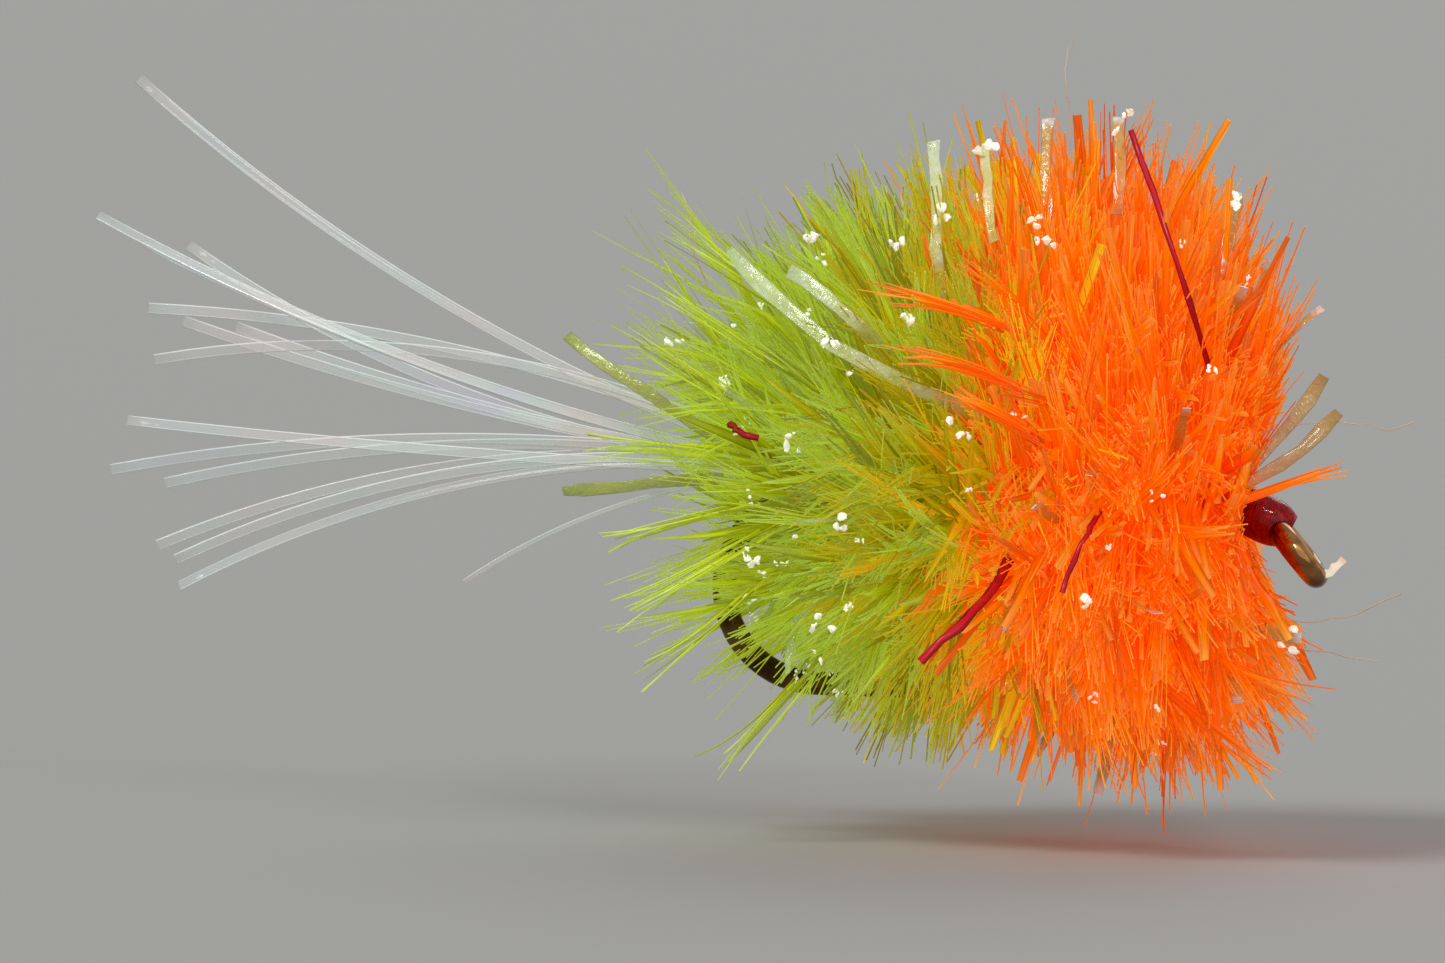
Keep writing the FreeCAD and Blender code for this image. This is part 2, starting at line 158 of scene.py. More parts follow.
def noise(tree, scale, detail=2.0, stretch=(1.0, 1.0, 1.0)):
    """Noise on Object coordinates, scale given per millimetre."""
    place = tree.nodes.new("ShaderNodeTexCoord")
    mapping = tree.nodes.new("ShaderNodeMapping")
    mapping.inputs["Scale"].default_value = tuple(v / MM for v in stretch)
    node = tree.nodes.new("ShaderNodeTexNoise")
    node.inputs["Scale"].default_value = scale
    node.inputs["Detail"].default_value = detail
    tree.links.new(place.outputs["Object"], mapping.inputs["Vector"])
    tree.links.new(mapping.outputs["Vector"], node.inputs["Vector"])
    return node.outputs["Fac"]


def mixed(tree, first, second, how="MULTIPLY", factor=1.0):
    """Two colours blended like the layers of a paint program."""
    node = tree.nodes.new("ShaderNodeMix")
    node.data_type = "RGBA"
    node.blend_type = how
    node.inputs["Factor"].default_value = factor
    tree.links.new(first, node.inputs["A"])
    tree.links.new(second, node.inputs["B"])
    return node.outputs["Result"]


def own_map(tree):
    """The piece's own map: the whole of it, how far along a hair, and V."""
    place = tree.nodes.new("ShaderNodeUVMap")
    place.uv_map = "OFBake"
    parts = tree.nodes.new("ShaderNodeSeparateXYZ")
    tree.links.new(place.outputs["UV"], parts.inputs["Vector"])
    return place.outputs["UV"], parts.outputs["X"], parts.outputs["Y"]


def bump(tree, shader, height, strength, distance):
    """Fine relief that only the light sees."""
    node = tree.nodes.new("ShaderNodeBump")
    node.inputs["Strength"].default_value = strength
    node.inputs["Distance"].default_value = distance
    tree.links.new(height, node.inputs["Height"])
    tree.links.new(node.outputs["Normal"], shader.inputs["Normal"])


print("helpers:", ", ".join(f.__name__ for f in (ramp, noise, mixed, own_map, bump)))

# %% [markdown]
# ## Pile fibres
# A fibre's colour changes along its length and differs from hair to hair. Both are read
# from the piece's own map: U runs from root to tip and V is one chance number per hair.
# A good share of the light passes through a thin fibre, so half of the shader is
# translucent. The dyes are fluorescent, and an emission of their own colour stands partly
# for that and mostly for painted light, which brightens the pile where its own hairs shade it.

# %% Fibre finishes
STREAKS = (3.0, 130.0, 1.0)


def fibre_finish(name, along, shades, fluorescence_and_painted_light, through=0.5, roughness=0.4):
    """along: colour stops root to tip, with painted shade at the root and painted light at the
    tip; shades: brightness stops over the hairs; then the emission strength: partly the dye's
    fluorescence, mostly painted light that brightens the pile where its own hairs shade it."""
    finish, tree, shader = new_finish(name, Roughness=roughness)
    shader.inputs["Specular IOR Level"].default_value = 0.4
    # The emission stands partly for the dye's fluorescence and mostly for painted light.
    shader.inputs["Emission Strength"].default_value = fluorescence_and_painted_light
    place, length, chance = own_map(tree)
    stretch = tree.nodes.new("ShaderNodeMapping")
    stretch.inputs["Scale"].default_value = STREAKS
    streaks = tree.nodes.new("ShaderNodeTexNoise")
    streaks.inputs["Scale"].default_value = 1.0
    streaks.inputs["Detail"].default_value = 1.0
    tree.links.new(place, stretch.inputs["Vector"])
    tree.links.new(stretch.outputs["Vector"], streaks.inputs["Vector"])
    lines = ramp(tree, [(0.35, (0.80, 0.68, 0.6)), (0.58, (1.0, 1.0, 1.0))],
                 streaks.outputs["Fac"])
    tint = mixed(tree, ramp(tree, shades, chance), lines)
    # The ramp along the fibre paints shade at the root and light at the tip.
    colour = mixed(tree, ramp(tree, along, length), tint)
    tree.links.new(colour, shader.inputs["Base Color"])
    tree.links.new(colour, shader.inputs["Emission Color"])
    thin = tree.nodes.new("ShaderNodeBsdfTranslucent")
    tree.links.new(colour, thin.inputs["Color"])
    mix = tree.nodes.new("ShaderNodeMixShader")
    mix.inputs["Fac"].default_value = through
    tree.links.new(shader.outputs["BSDF"], mix.inputs[1])
    tree.links.new(thin.outputs["BSDF"], mix.inputs[2])
    tree.links.new(mix.outputs["Shader"], tree.nodes["Material Output"].inputs["Surface"])
    return finish


print("fine streaks along a fibre:", STREAKS)

# %% [markdown]
# The pile takes four dyes. Each dye's colour stops run from root to tip and carry painted
# light: the deep, dull root is painted shade for the light that has been through the
# neighbouring hairs, and the pale, bright tip is painted light. Olive and amber are what
# green and orange make of each other where the two sections meet.

# %% The four dyes
SHADES = [(0.0, (0.56, 0.53, 0.4)), (0.40, (0.93, 0.94, 0.8)), (1.0, (1.06, 1.06, 1.0))]
# Each list of stops runs root to tip: painted shade at the root, painted light at the tip.
green_fibre = fibre_finish(
    "green_fibre",
    [(0.0, (0.40, 0.35, 0.0)), (0.5, (0.58, 0.63, 0.0)), (0.75, (0.70, 0.84, 0.03)),
     (1.0, (0.74, 0.92, 0.24))], SHADES, 0.40)
olive_fibre = fibre_finish(
    "olive_fibre",
    [(0.0, (0.36, 0.26, 0.0)), (0.5, (0.64, 0.58, 0.0)), (0.75, (0.80, 0.74, 0.0)),
     (1.0, (0.88, 0.86, 0.08))],
    SHADES, 0.34)
amber_fibre = fibre_finish(
    "amber_fibre",
    [(0.0, (0.54, 0.22, 0.0)), (0.5, (0.95, 0.62, 0.0)), (1.0, (1.0, 0.84, 0.04))],
    SHADES, 0.42)
orange_fibre = fibre_finish(
    "orange_fibre",
    [(0.0, (0.55, 0.01, 0.0)), (0.50, (0.90, 0.06, 0.0)), (0.74, (1.0, 0.20, 0.0)),
     (0.90, (1.0, 0.35, 0.0)), (1.0, (1.0, 0.52, 0.10))],
    [(0.0, (0.84, 0.44, 0.4)), (0.4, (1.0, 0.88, 0.9)), (1.0, (1.0, 1.25, 1.1))], 0.56)
print("fibre finishes:", green_fibre.name, olive_fibre.name, amber_fibre.name,
      orange_fibre.name)

# %% [markdown]
# ## Growing hair
# Hair could come from a particle system, which an export can't carry. Here each hair is
# one spline of a curve object with a three-sided bevel, so Blender itself sweeps, tapers
# and caps thousands of them, and the result is a plain mesh.

# %% Sections to sweep
def bevel_shape(name, corners):
    """A small closed outline that a curve can be swept with."""
    data = bpy.data.curves.new(name, "CURVE")
    data.dimensions = "2D"
    spline = data.splines.new("POLY")
    spline.points.add(len(corners) - 1)
    for point, (x, y) in zip(spline.points, corners):
        point.co = (x, y, 0.0, 1.0)
    spline.use_cyclic_u = True
    return bpy.data.objects.new(name, data)


def flat_shape(name, shoulder, thick):
    """Six corners: a flat outline with its shoulders so far out and so high."""
    return bevel_shape(name, [(1.0, 0.0), (shoulder, thick), (-shoulder, thick),
                              (-1.0, 0.0), (-shoulder, -thick), (shoulder, -thick)])


ROUND = bevel_shape("round_hair", [(math.cos(a), math.sin(a))
                                   for a in (0.0, 2 * math.pi / 3, 4 * math.pi / 3)])
BLADE = bevel_shape("blade", [(1.0, 0.0), (0.0, 0.10), (-1.0, 0.0), (0.0, -0.10)])
STRIP = flat_shape("strip", 0.84, 0.09)
PEBBLE = flat_shape("pebble", 0.6, 0.35)
print("sections:", ROUND.name, BLADE.name, STRIP.name, PEBBLE.name)

# %% [markdown]
# The swept mesh needs its own map, from which the finishes read where they are along a
# hair. A curve's own map counts every hair alike, so a new one is worked out from the
# order in which Blender makes the corners of a sweep.

# %% Sweep paths into a mesh
def hair_mesh(name, paths, radii, chance, section, tilts=None):
    """A closed mesh swept along many paths: paths (hairs, points, 3) in millimetres,
    radii (hairs, points), chance (hairs,) the V of each hair in the map. With no chance
    numbers, V runs across the section instead."""
    hairs, points = radii.shape
    sides = len(section.data.splines[0].points)
    data = bpy.data.curves.new(name, "CURVE")
    data.dimensions = "3D"
    data.resolution_u = 1
    data.bevel_mode = "OBJECT"
    data.bevel_object = section
    data.use_fill_caps = True
    places = np.concatenate([paths * MM, np.ones((hairs, points, 1))], axis=2)
    for k in range(hairs):
        spline = data.splines.new("POLY")
        spline.points.add(points - 1)
        spline.points.foreach_set("co", places[k].ravel())
        spline.points.foreach_set("radius", radii[k] * MM)
        if tilts is not None:
            spline.points.foreach_set("tilt", tilts[k])
    holder = bpy.data.objects.new(name, data)
    bpy.context.scene.collection.objects.link(holder)
    swept = holder.evaluated_get(bpy.context.evaluated_depsgraph_get())
    mesh = bpy.data.meshes.new_from_object(swept)
    bpy.data.objects.remove(holder)
    bpy.data.curves.remove(data)
    # The caps come first, last hair first; then each hair's rings from root to tip.
    corner = np.empty(len(mesh.loops), dtype=np.int32)
    mesh.loops.foreach_get("vertex_index", corner)
    capped = 2 * sides * hairs
    on_cap = corner < capped
    hair = np.where(on_cap, hairs - 1 - corner // (2 * sides),
                    (corner - capped) // (sides * points))
    ring = np.where(on_cap, np.where(corner % (2 * sides) < sides, points - 1, 0),
                    (corner - capped) // sides % points)
    side = np.where(on_cap, corner % sides, (corner - capped) % sides)
    if chance is None:
        across = np.array([(p.co.x + 1) / 2 for p in section.data.splines[0].points])
        v = across[side] * 0.96 + 0.02
    else:
        v = chance[hair] * 0.90 + 0.02 + 0.02 * side
    layout = np.stack([ring / (points - 1) * 0.98 + 0.01, v], axis=1)
    while mesh.uv_layers:
        mesh.uv_layers.remove(mesh.uv_layers[0])
    mesh.uv_layers.new(name="OFBake").data.foreach_set("uv", layout.astype(np.float32).ravel())
    return mesh


print("sweeps carry the map OFBake")

# %% [markdown]
# A turn of pile has hairs of several finishes, yet it is one piece. A bmesh joins them,
# keeps each one's finish and merges the caps with their hairs, so that every hair is a
# closed skin. The piece then rides on its body of the frame.

# %% Join meshes into a piece
def show(name, mesh, finishes):
    """A mesh with its finishes as an object in the scene."""
    for finish in finishes:
        mesh.materials.append(finish)
    piece = bpy.data.objects.new(name, mesh)
    bpy.context.scene.collection.objects.link(piece)
    return piece


def piece_of(name, meshes, finishes, body="body"):
    """Joins meshes into one piece, closes the caps and gives each mesh its finish."""
    shape = bmesh.new()
    for slot, mesh in enumerate(meshes):
        start = len(shape.faces)
        shape.from_mesh(mesh)
        shape.faces.ensure_lookup_table()
        for face in shape.faces[start:]:
            face.material_index = slot
            face.smooth = True
        bpy.data.meshes.remove(mesh)
    bmesh.ops.remove_doubles(shape, verts=shape.verts, dist=1e-9)
    result = bpy.data.meshes.new(name)
    shape.to_mesh(result)
    shape.free()
    piece = show(name, result, finishes)
    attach(piece, body)
    triangles = sum(len(p.vertices) - 2 for p in result.polygons)
    print(name, triangles, "triangles")
    return piece


# %% [markdown]
# ## Tufts
# The pile doesn't stand as single hairs: it clings together in tufts, and neighbouring
# tufts lean the same way, as grass does in wind. Each tuft has a root on the core, a
# direction round the shank and a lean, and it stops near the rounded outline that the
# finished section is trimmed to. Its hairs share the tuft's curve and part at their tips.

# %% Directions and lengths
POINTS = 6
STEPS = np.linspace(0.0, 1.0, POINTS)
WIND = [(1.0, 3, 1.3, 0.0), (0.8, 7, -1.9, 2.0), (0.6, 13, 2.7, 0.0)]
FALL = 24


def unit(v):
    return v / np.linalg.norm(v, axis=-1, keepdims=True)


def reach(roots, ways, centre, half, power, slant=0.0):
    """How far each ray goes before it leaves a rounded box. slant: how much the box leans
    to the rear, above its middle."""
    low = np.zeros(len(roots))
    high = np.full(len(roots), 30.0)
    for _ in range(24):
        mid = (low + high) / 2
        place = roots + mid[:, None] * ways - centre
        place[:, 0] += slant * np.maximum(place[:, 2], 0.0)
        inside = (np.abs(place / half) ** power).sum(1) < 1
        low = np.where(inside, mid, low)
        high = np.where(inside, high, mid)
    return low


def tufts(chance, count, x_from, x_to, leans, outline, swirl, comb, uneven, splay=0.0):
    """Roots, first and last directions and lengths of tufts on one turn. leans: the least
    and the most lean to the rear, in degrees; swirl: how far the tips wander round the
    shank; comb: the lean that the tufts on the two sides of the fly tend to; uneven: the
    least and most length, as a share of the way to the outline; splay: how far the tufts at
    the sides fall over any way. WIND holds the strength and the waves, round the shank and
    along it, that neighbours share."""
    turn = chance.random(count) * 2 * math.pi
    where = x_from + (x_to - x_from) * chance.random(count)
    radial = np.stack([np.zeros(count), np.cos(turn), np.sin(turn)], axis=1)
    around = np.stack([np.zeros(count), -np.sin(turn), np.cos(turn)], axis=1)
    lean = leans[0] + (leans[1] - leans[0]) * chance.random(count) + chance.normal(0, 6, count)
    beside = radial[:, 1] ** 2
    lean = lean + (comb - lean) * beside * chance.random(count)
    if splay:
        lean += FALL * splay * beside * chance.normal(0, 1, count)
    lean = np.radians(lean)
    wind = sum(strength * np.sin(waves * turn + along * where + start)
               for strength, waves, along, start in WIND)
    wander = swirl * (0.5 * wind + chance.normal(0, 0.6, count)) * (1 + splay * beside)
    back = np.array([[-1.0, 0.0, 0.0]])
    roots = radial * core_radius * 0.8
    roots[:, 0] += where
    roots[:, 2] += shank_z
    last = unit(radial * np.cos(lean)[:, None] + back * np.sin(lean)[:, None]
                + around * wander[:, None])
    first = unit(radial * np.cos(lean * 0.4)[:, None] + back * np.sin(lean * 0.4)[:, None]
                 + chance.normal(0, 0.15, (count, 3)))
    length = reach(roots, last, *outline) * chance.uniform(*uneven, count)
    return roots, first, last, length


print("a hair has", POINTS, "points")

# %% [markdown]
# Each hair is worked out with arrays, many thousands at once: a bent line from root to
# tip, an offset inside its tuft, a slow wave and a curl at the tip.

# %% Hairs of a tuft
SHORTEST = 0.68
WAVY = 0.15
SHARPEST = 1.3


def hairs_of(chance, tuft, each, width, curl, cling=0.4):
    """cling: the share of the tufts whose hairs meet again at the tip."""
    roots, first, last, length = tuft
    count = len(roots)
    many = count * each
    pick = np.repeat(np.arange(count), each)
    step = STEPS[None, :] * chance.uniform(SHORTEST, 1.0, many)[:, None]
    root, way_in, way_out = roots[pick], first[pick], last[pick]
    span = length[pick]
    knee = root + 0.5 * span[:, None] * way_in
    tip = root + span[:, None] * way_out
    s = step[:, :, None]
    path = ((1 - s) ** 2 * root[:, None] + 2 * s * (1 - s) * knee[:, None]
            + s ** 2 * tip[:, None])
    across = unit(np.cross(way_out, chance.normal(0, 1, (many, 3))))
    out = np.sqrt(chance.random(many)) * width * chance.uniform(0.5, 1.4, count)[pick]
    pointed = (chance.random(count) < cling)[pick][:, None]
    bulge = np.sin(np.pi * np.clip(step * 0.85, 0, 1)) ** 0.7
    profile = np.where(pointed, bulge, 0.10 + 0.5 * step + 0.9 * step ** 3)
    path += (out[:, None] * profile)[:, :, None] * across[:, None]
    sway = unit(chance.normal(0, 1, (many, 3)))
    wave = np.sin(2 * math.pi * (step * chance.uniform(0.5, 1.5, (many, 1))
                                 + chance.random((many, 1))))
    path += (wave * step * WAVY)[:, :, None] * sway[:, None]
    most = SHARPEST * curl
    bend = np.clip(chance.normal(0, curl, (count, 1, 3)), -most, most)[pick]
    apart = (0.5 - 0.42 * cling) * curl
    path += (step ** 3)[:, :, None] * (bend + chance.normal(0, apart, (many, 1, 3)))
    return path, pick


print("the shortest hair has", SHORTEST, "of its tuft's length")

# %% [markdown]
# Chenille has two kinds of fibre: thin round hairs, and flat ones that are broad enough
# to catch the light on one side. The flat ones twist slowly, so each shows its face
# somewhere.

# %% Thickness and tilt
TWIST = 1.5


def taper(chance, count, thick, thin=0.6):
    """Radii that thin towards the tip, a little different from hair to hair."""
    size = thick * chance.uniform(0.7, 1.3, count)
    return size[:, None] * (1.0 - (1.0 - thin) * STEPS[None, :] ** 1.5)


def leaf(chance, count, wide, blunt=0.12):
    """Half widths of a leaf: narrow root, broad middle, and a tip as blunt as it says."""
    size = wide * chance.uniform(0.5, 1.4, count)
    shape = np.interp(STEPS, [0.0, 0.35, 0.7, 1.0], [0.4, 0.85, 1.0, blunt])
    return size[:, None] * shape[None, :]


def any_tilt(chance, count):
    """Any tilt at the root, and the same slow twist for every hair."""
    return chance.uniform(0, math.pi, (count, 1)) + TWIST * STEPS[None, :]


print("twist from root to tip:", round(math.degrees(TWIST)), "degrees")

# %% [markdown]
# The pile isn't left as it grew. A tyer strokes it back from the eye after each turn, and
# it stands thinner round the bend, where the steel shows through. A path that doubles
# back is left out, because a section swept round a hairpin shoots out a spike.

# %% Comb and thin the pile
HEAD_CLEAR = -1.75
FLARE = 0.34
FLARE_BELOW = 0.16
BRUSHED = 0.85


def combed(chance, paths):
    """Brushes the pile back from the head: less above and below it than beside it, where
    the pile flares forward by a share of its height, and more so below."""
    across, up = paths[:, :, 1], paths[:, :, 2] - shank_z
    far = np.hypot(across, up) + 1e-6
    beside = (across / far) ** 2
    loosely = chance.normal(0, 1, (len(paths), 1))
    flare = FLARE - FLARE_BELOW * up / far + 0.10 * loosely
    free = HEAD_CLEAR + far * (1 - beside) * flare + 0.05 * far * np.abs(loosely)
    over = np.maximum(paths[:, :, 0] - free, 0.0)
    paths[:, :, 0] -= BRUSHED * over
    return paths


def gentle(paths):
    """Marks the paths without a hairpin."""
    ways = unit(np.diff(paths, axis=1))
    return ((ways[:, 1:] * ways[:, :-1]).sum(2) > 0.0).all(1)


BEND_FRONT = bend_x + 2.0
BEND_TOP = shank_z + 1.4
BEND_BOTTOM = shank_z - 6.5
BEND_SIDE = 0.8


def thinned(chance, tuft, keep):
    """Leaves out most of the tufts that would hide the bend of the hook."""
    roots, first, last, length = tuft
    tips = roots + length[:, None] * last
    hides = ((tips[:, 0] < BEND_FRONT) & (np.abs(tips[:, 1]) > BEND_SIDE)
             & (tips[:, 2] < BEND_TOP) & (tips[:, 2] > BEND_BOTTOM))
    stay = ~hides | (chance.random(len(roots)) < keep)
    return tuple(part[stay] for part in tuft)


print("thinned behind", round(BEND_FRONT, 1), "up to", round(BEND_TOP, 1))

# %% [markdown]
# ## The two sections
# Each turn of chenille is its own piece, grown in three layers: tufts, single hairs
# between them and flat fibres on top. One seed per turn keeps every run the same.

# %% How a turn grows
TUFTS = 220
EACH = 16
LEAF = 0.15
HAIR = 0.034
SPREAD = 0.22


def grow_turn(name, seed, x_from, x_to, leans, outline, mixture, swirl, comb, curl, cling=0.4,
              loosely=500, leaves=300, blunt=0.12, splay=0.0):
    """mixture: finish and share pairs, which together make up the turn's tufts. loosely: how
    many single hairs stand between the tufts."""
    chance = np.random.default_rng(seed)

    def some(count, keep, uneven, leans=leans, swirl=swirl):
        return thinned(chance, tufts(chance, count, x_from, x_to, leans, outline, swirl, comb,
                                     uneven, splay), keep)

    tuft = some(TUFTS, 0.2, (0.74, 1.03))
    paths, pick = hairs_of(chance, tuft, EACH, SPREAD, curl, cling)
    shade = np.clip(chance.normal(0.5, 0.32, TUFTS)[pick]
                    + chance.normal(0, 0.10, len(pick)), 0, 1)
    colour = chance.random(TUFTS)[pick]
    loose = some(loosely, 0.4, (0.35, 1.07), (leans[0] - 12, leans[1] + 8), swirl * 1.5)
    more, _ = hairs_of(chance, loose, 1, 0.1, curl * 1.5)
    paths = combed(chance, np.concatenate([paths, more]))
    shade = np.concatenate([shade, chance.random(len(more))])
    colour = np.concatenate([colour, chance.random(len(more))])
    kept = gentle(paths)
    paths, shade, colour = paths[kept], shade[kept], colour[kept]
    radii = taper(chance, len(paths), HAIR)
    meshes, finishes, low = [], [], 0.0
    for finish, share in mixture:
        mine = (colour >= low) & (colour < low + share)
        meshes.append(hair_mesh(name, paths[mine], radii[mine], shade[mine], ROUND))
        finishes.append(finish)
        low += share
        tuft = some(int(leaves * share), 0.3, (0.72, 1.04), swirl=swirl * 1.3)
        flat = combed(chance, hairs_of(chance, tuft, 1, 0.1, curl)[0])
        flat = flat[gentle(flat)]
        count = len(flat)
        meshes.append(hair_mesh(name, flat, leaf(chance, count, LEAF, blunt),
                                chance.random(count), BLADE, any_tilt(chance, count)))
        finishes.append(finish)
    return piece_of(name, meshes, finishes)


def turns_of(rear, front, count):
    """For each turn: where it starts and ends, and how far forward it is, from 0 to 1."""
    width = (front - rear) / count
    starts = [rear + turn * width for turn in range(count)]
    return [(start, start + width, turn / (count - 1)) for turn, start in enumerate(starts)]


print(TUFTS, "tufts of", EACH, "hairs to a turn")

# %% [markdown]
# The green turns lean back, more towards the bend, so that together they round off the
# rear. Their last turns are mixed with olive and amber.

# %% Grow the green section
GREEN_OUTLINE = (np.array([-9.9, 0.0, 2.6]), np.array([5.8, 7.9, 8.1]), 2.2)
GREEN_TURNS = 5
GREEN_MIX = [[(green_fibre, 1.0)], [(green_fibre, 1.0)],
             [(green_fibre, 0.92), (olive_fibre, 0.09)],
             [(green_fibre, 0.62), (olive_fibre, 0.39)],
             [(olive_fibre, 0.68), (amber_fibre, 0.14), (green_fibre, 0.19)]]
for turn, (start, end, front) in enumerate(turns_of(green_rear, green_front, GREEN_TURNS)):
    rear = 1 - front
    leans = (2 + 22 * rear, 14 + 58 * rear)
    piece = grow_turn("green_pile_turn_%d" % (turn + 1), 10 + turn, start, end, leans,
                      GREEN_OUTLINE, GREEN_MIX[turn], 0.36, 30 + 42 * rear, 0.50)
    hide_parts("green_pile_%d" % (turn + 1))

# %% [markdown]
# The orange turns stand upright and lean forward a little at the head, but those beside
# the head are combed back, which leaves the head and the eye clear. At the sides their
# tufts fall over any way, so the longest fibres are seen from there.

# %% Grow the orange section
ORANGE_OUTLINE = (np.array([-4.6, 0.0, 2.5]), np.array([5.3, 8.2, 8.7]), 2.3, 0.18)
ORANGE_TURNS = 6
ORANGE_MIX = [[(orange_fibre, 0.46), (amber_fibre, 0.55)],
              [(orange_fibre, 0.9), (amber_fibre, 0.11)], [(orange_fibre, 1.01)]]
for turn, (start, end, front) in enumerate(turns_of(orange_rear, orange_front, ORANGE_TURNS)):
    leans = (20 - 44 * front, 0 - 30 * front)
    piece = grow_turn("orange_pile_turn_%d" % (turn + 1), 40 + turn, start, end, leans,
                      ORANGE_OUTLINE, ORANGE_MIX[min(turn, 2)], 0.70, 34 - 24 * front, 0.95,
                      cling=0.8, loosely=300, leaves=460, blunt=0.6, splay=0.9)
    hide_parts("orange_pile_%d" % (turn + 1))

# %% [markdown]
# ## Wisps
# At the rear a few long thin tufts reach well beyond the rest, at the seam some orange ones
# fall back over the green, and under the head some point forward. They are grown the same
# way, only fewer and longer.

# %% Long wisps at the rear and over the seam
ANY_RISE = 2.0


def wisps(name, seed, count, each, x_from, x_to, leans, outline, swirl, comb, uneven, finish,
          rise=ANY_RISE):
    """rise: how steeply a tuft may rise to be kept, from -1 straight down to 1 up."""
    chance = np.random.default_rng(seed)
    tuft = tufts(chance, count, x_from, x_to, leans, outline, swirl, comb, uneven)
    kept = tuft[2][:, 2] < rise
    tuft = thinned(chance, tuple(part[kept] for part in tuft), 0.35)
    count = len(tuft[0])
    paths, pick = hairs_of(chance, tuft, each, SPREAD, 0.5)
    paths = combed(chance, paths)
    kept = gentle(paths)
    paths = paths[kept]
    shade = np.clip(chance.normal(0.6, 0.2, count)[pick[kept]], 0, 1)
    mesh = hair_mesh(name, paths, taper(chance, len(paths), HAIR, 0.4), shade, ROUND)
    flat = combed(chance, hairs_of(chance, tuft, 1, 0.1, 0.7)[0])
    flat = flat[gentle(flat)]
    count = len(flat)
    tilts = any_tilt(chance, count)
    blades = hair_mesh(name, flat, leaf(chance, count, 0.13), chance.random(count), BLADE, tilts)
    return piece_of(name, [mesh, blades], [finish, finish])


piece = wisps("rear_wisps", 71, 190, 8, green_rear, green_rear + 1.4, (30, 86), GREEN_OUTLINE,
              0.55, 66, (1.10, 1.72), green_fibre)
piece = wisps("front_wisps", 73, 130, 14, orange_front - 1.6, orange_front - 0.6, (-26, -40),
              (np.array([-4.6, 0.0, 2.5]), np.array([6.2, 8.2, 9.3]), 3.0), 0.25, -30,
              (0.80, 1.03), orange_fibre, rise=-0.72)
piece = wisps("seam_wisps", 72, 26, 14, orange_rear, orange_rear + 0.8, (14, 38),
              (np.array([-6.6, 0.0, 2.6]), np.array([4.6, 8.0, 8.6]), 2.2),
              0.45, 34, (0.86, 1.04), orange_fibre)

# %% [markdown]
# A few tufts stand out so much that they are placed one by one: each follows its own line
# of points, root first, in millimetres, and its hairs part towards the tip.

# %% Placed tufts
REAR_TUFTS = [
    [(-14.4, -3.4, 0.9), (-16.4, -3.4, 0.4), (-18.5, -3, -0.5)],
    [(-14.3, -4, -0.1), (-16, -4.2, -1.2), (-17.8, -4, -2.1)],
    [(-14, -4, -1.2), (-15.6, -4.2, -2.8), (-17.1, -3.8, -3.9)],
    [(-12.8, -3.4, -3.6), (-14, -3.6, -5), (-15.1, -3.2, -6.4)],
    [(-13.6, -3.6, 4.6), (-15.8, -3.8, 6), (-17.9, -3.2, 7.2)],
    [(-13.2, -3, 6), (-15, -3.2, 7.2), (-16.6, -2.8, 8.2)],
    [(-13.8, -3.8, 3.2), (-16.2, -4, 4.6), (-18.2, -3.6, 5.6)],
    [(-14.6, -2.8, 2.2), (-16.8, -3, 2.6), (-18.9, -2.6, 2.4)],
]
SEAM_TUFTS = [
    [(-7.4, -6.2, 5.8), (-9.2, -7, 6.6), (-11.1, -6.6, 6.9)],
    [(-7.2, -6.8, 4.4), (-8.8, -7.6, 5.2), (-10.6, -7.2, 5.3)],
    [(-6.8, -7.2, 3.2), (-8, -8, 3.9), (-9.2, -7.8, 4.3)],
]
FRONT_TUFTS = [
    [(-2.4, -3.4, 1.1), (-0.6, -3, 1.8), (1.3, -2.3, 2.5)],
    [(-2.6, -4, -2.2), (-1, -3.8, -3.2), (0.9, -3.4, -3.6)],
    [(-3, -3.8, -3.6), (-1.4, -3.6, -5), (0.4, -3, -6)],
]
SHOWS = 0.7


def placed(name, seed, lines, each, spread, finish):
    """Tufts along the given lines. Only the outer part of such a tuft shows, so its hairs
    start with the colour that other hairs have at the height SHOWS."""
    chance = np.random.default_rng(seed)
    lines = np.repeat(np.array(lines, dtype=float), each, axis=0)
    root, knee, tip = lines[:, 0], lines[:, 1], lines[:, 2]
    root = root + 0.25 * (knee - root) * chance.normal(0, 1, (len(lines), 1))
    step = (STEPS[None, :] * chance.uniform(0.7, 1.0, (len(lines), 1)))[:, :, None]
    paths = ((1 - step) ** 2 * root[:, None] + 2 * step * (1 - step) * knee[:, None]
             + step ** 2 * tip[:, None])
    paths += chance.normal(0, spread, (len(lines), 1, 3)) * (0.9 + 0.6 * step)
    paths += chance.normal(0, 2.5 * spread, (len(lines), 1, 3)) * step ** 3
    mesh = hair_mesh(name, paths, taper(chance, len(lines), HAIR, 0.5),
                     chance.random(len(lines)), ROUND)
    layout = np.empty(2 * len(mesh.loops), dtype=np.float32)
    mesh.uv_layers["OFBake"].data.foreach_get("uv", layout)
    layout[0::2] = SHOWS + (1 - SHOWS) * layout[0::2]
    mesh.uv_layers["OFBake"].data.foreach_set("uv", layout)
    return piece_of(name, [mesh], [finish])


placed("rear_tufts", 74, REAR_TUFTS, 9, 0.11, green_fibre)
placed("seam_tufts", 75, SEAM_TUFTS, 16, 0.09, orange_fibre)
placed("front_tufts", 76, FRONT_TUFTS, 14, 0.09, orange_fibre)
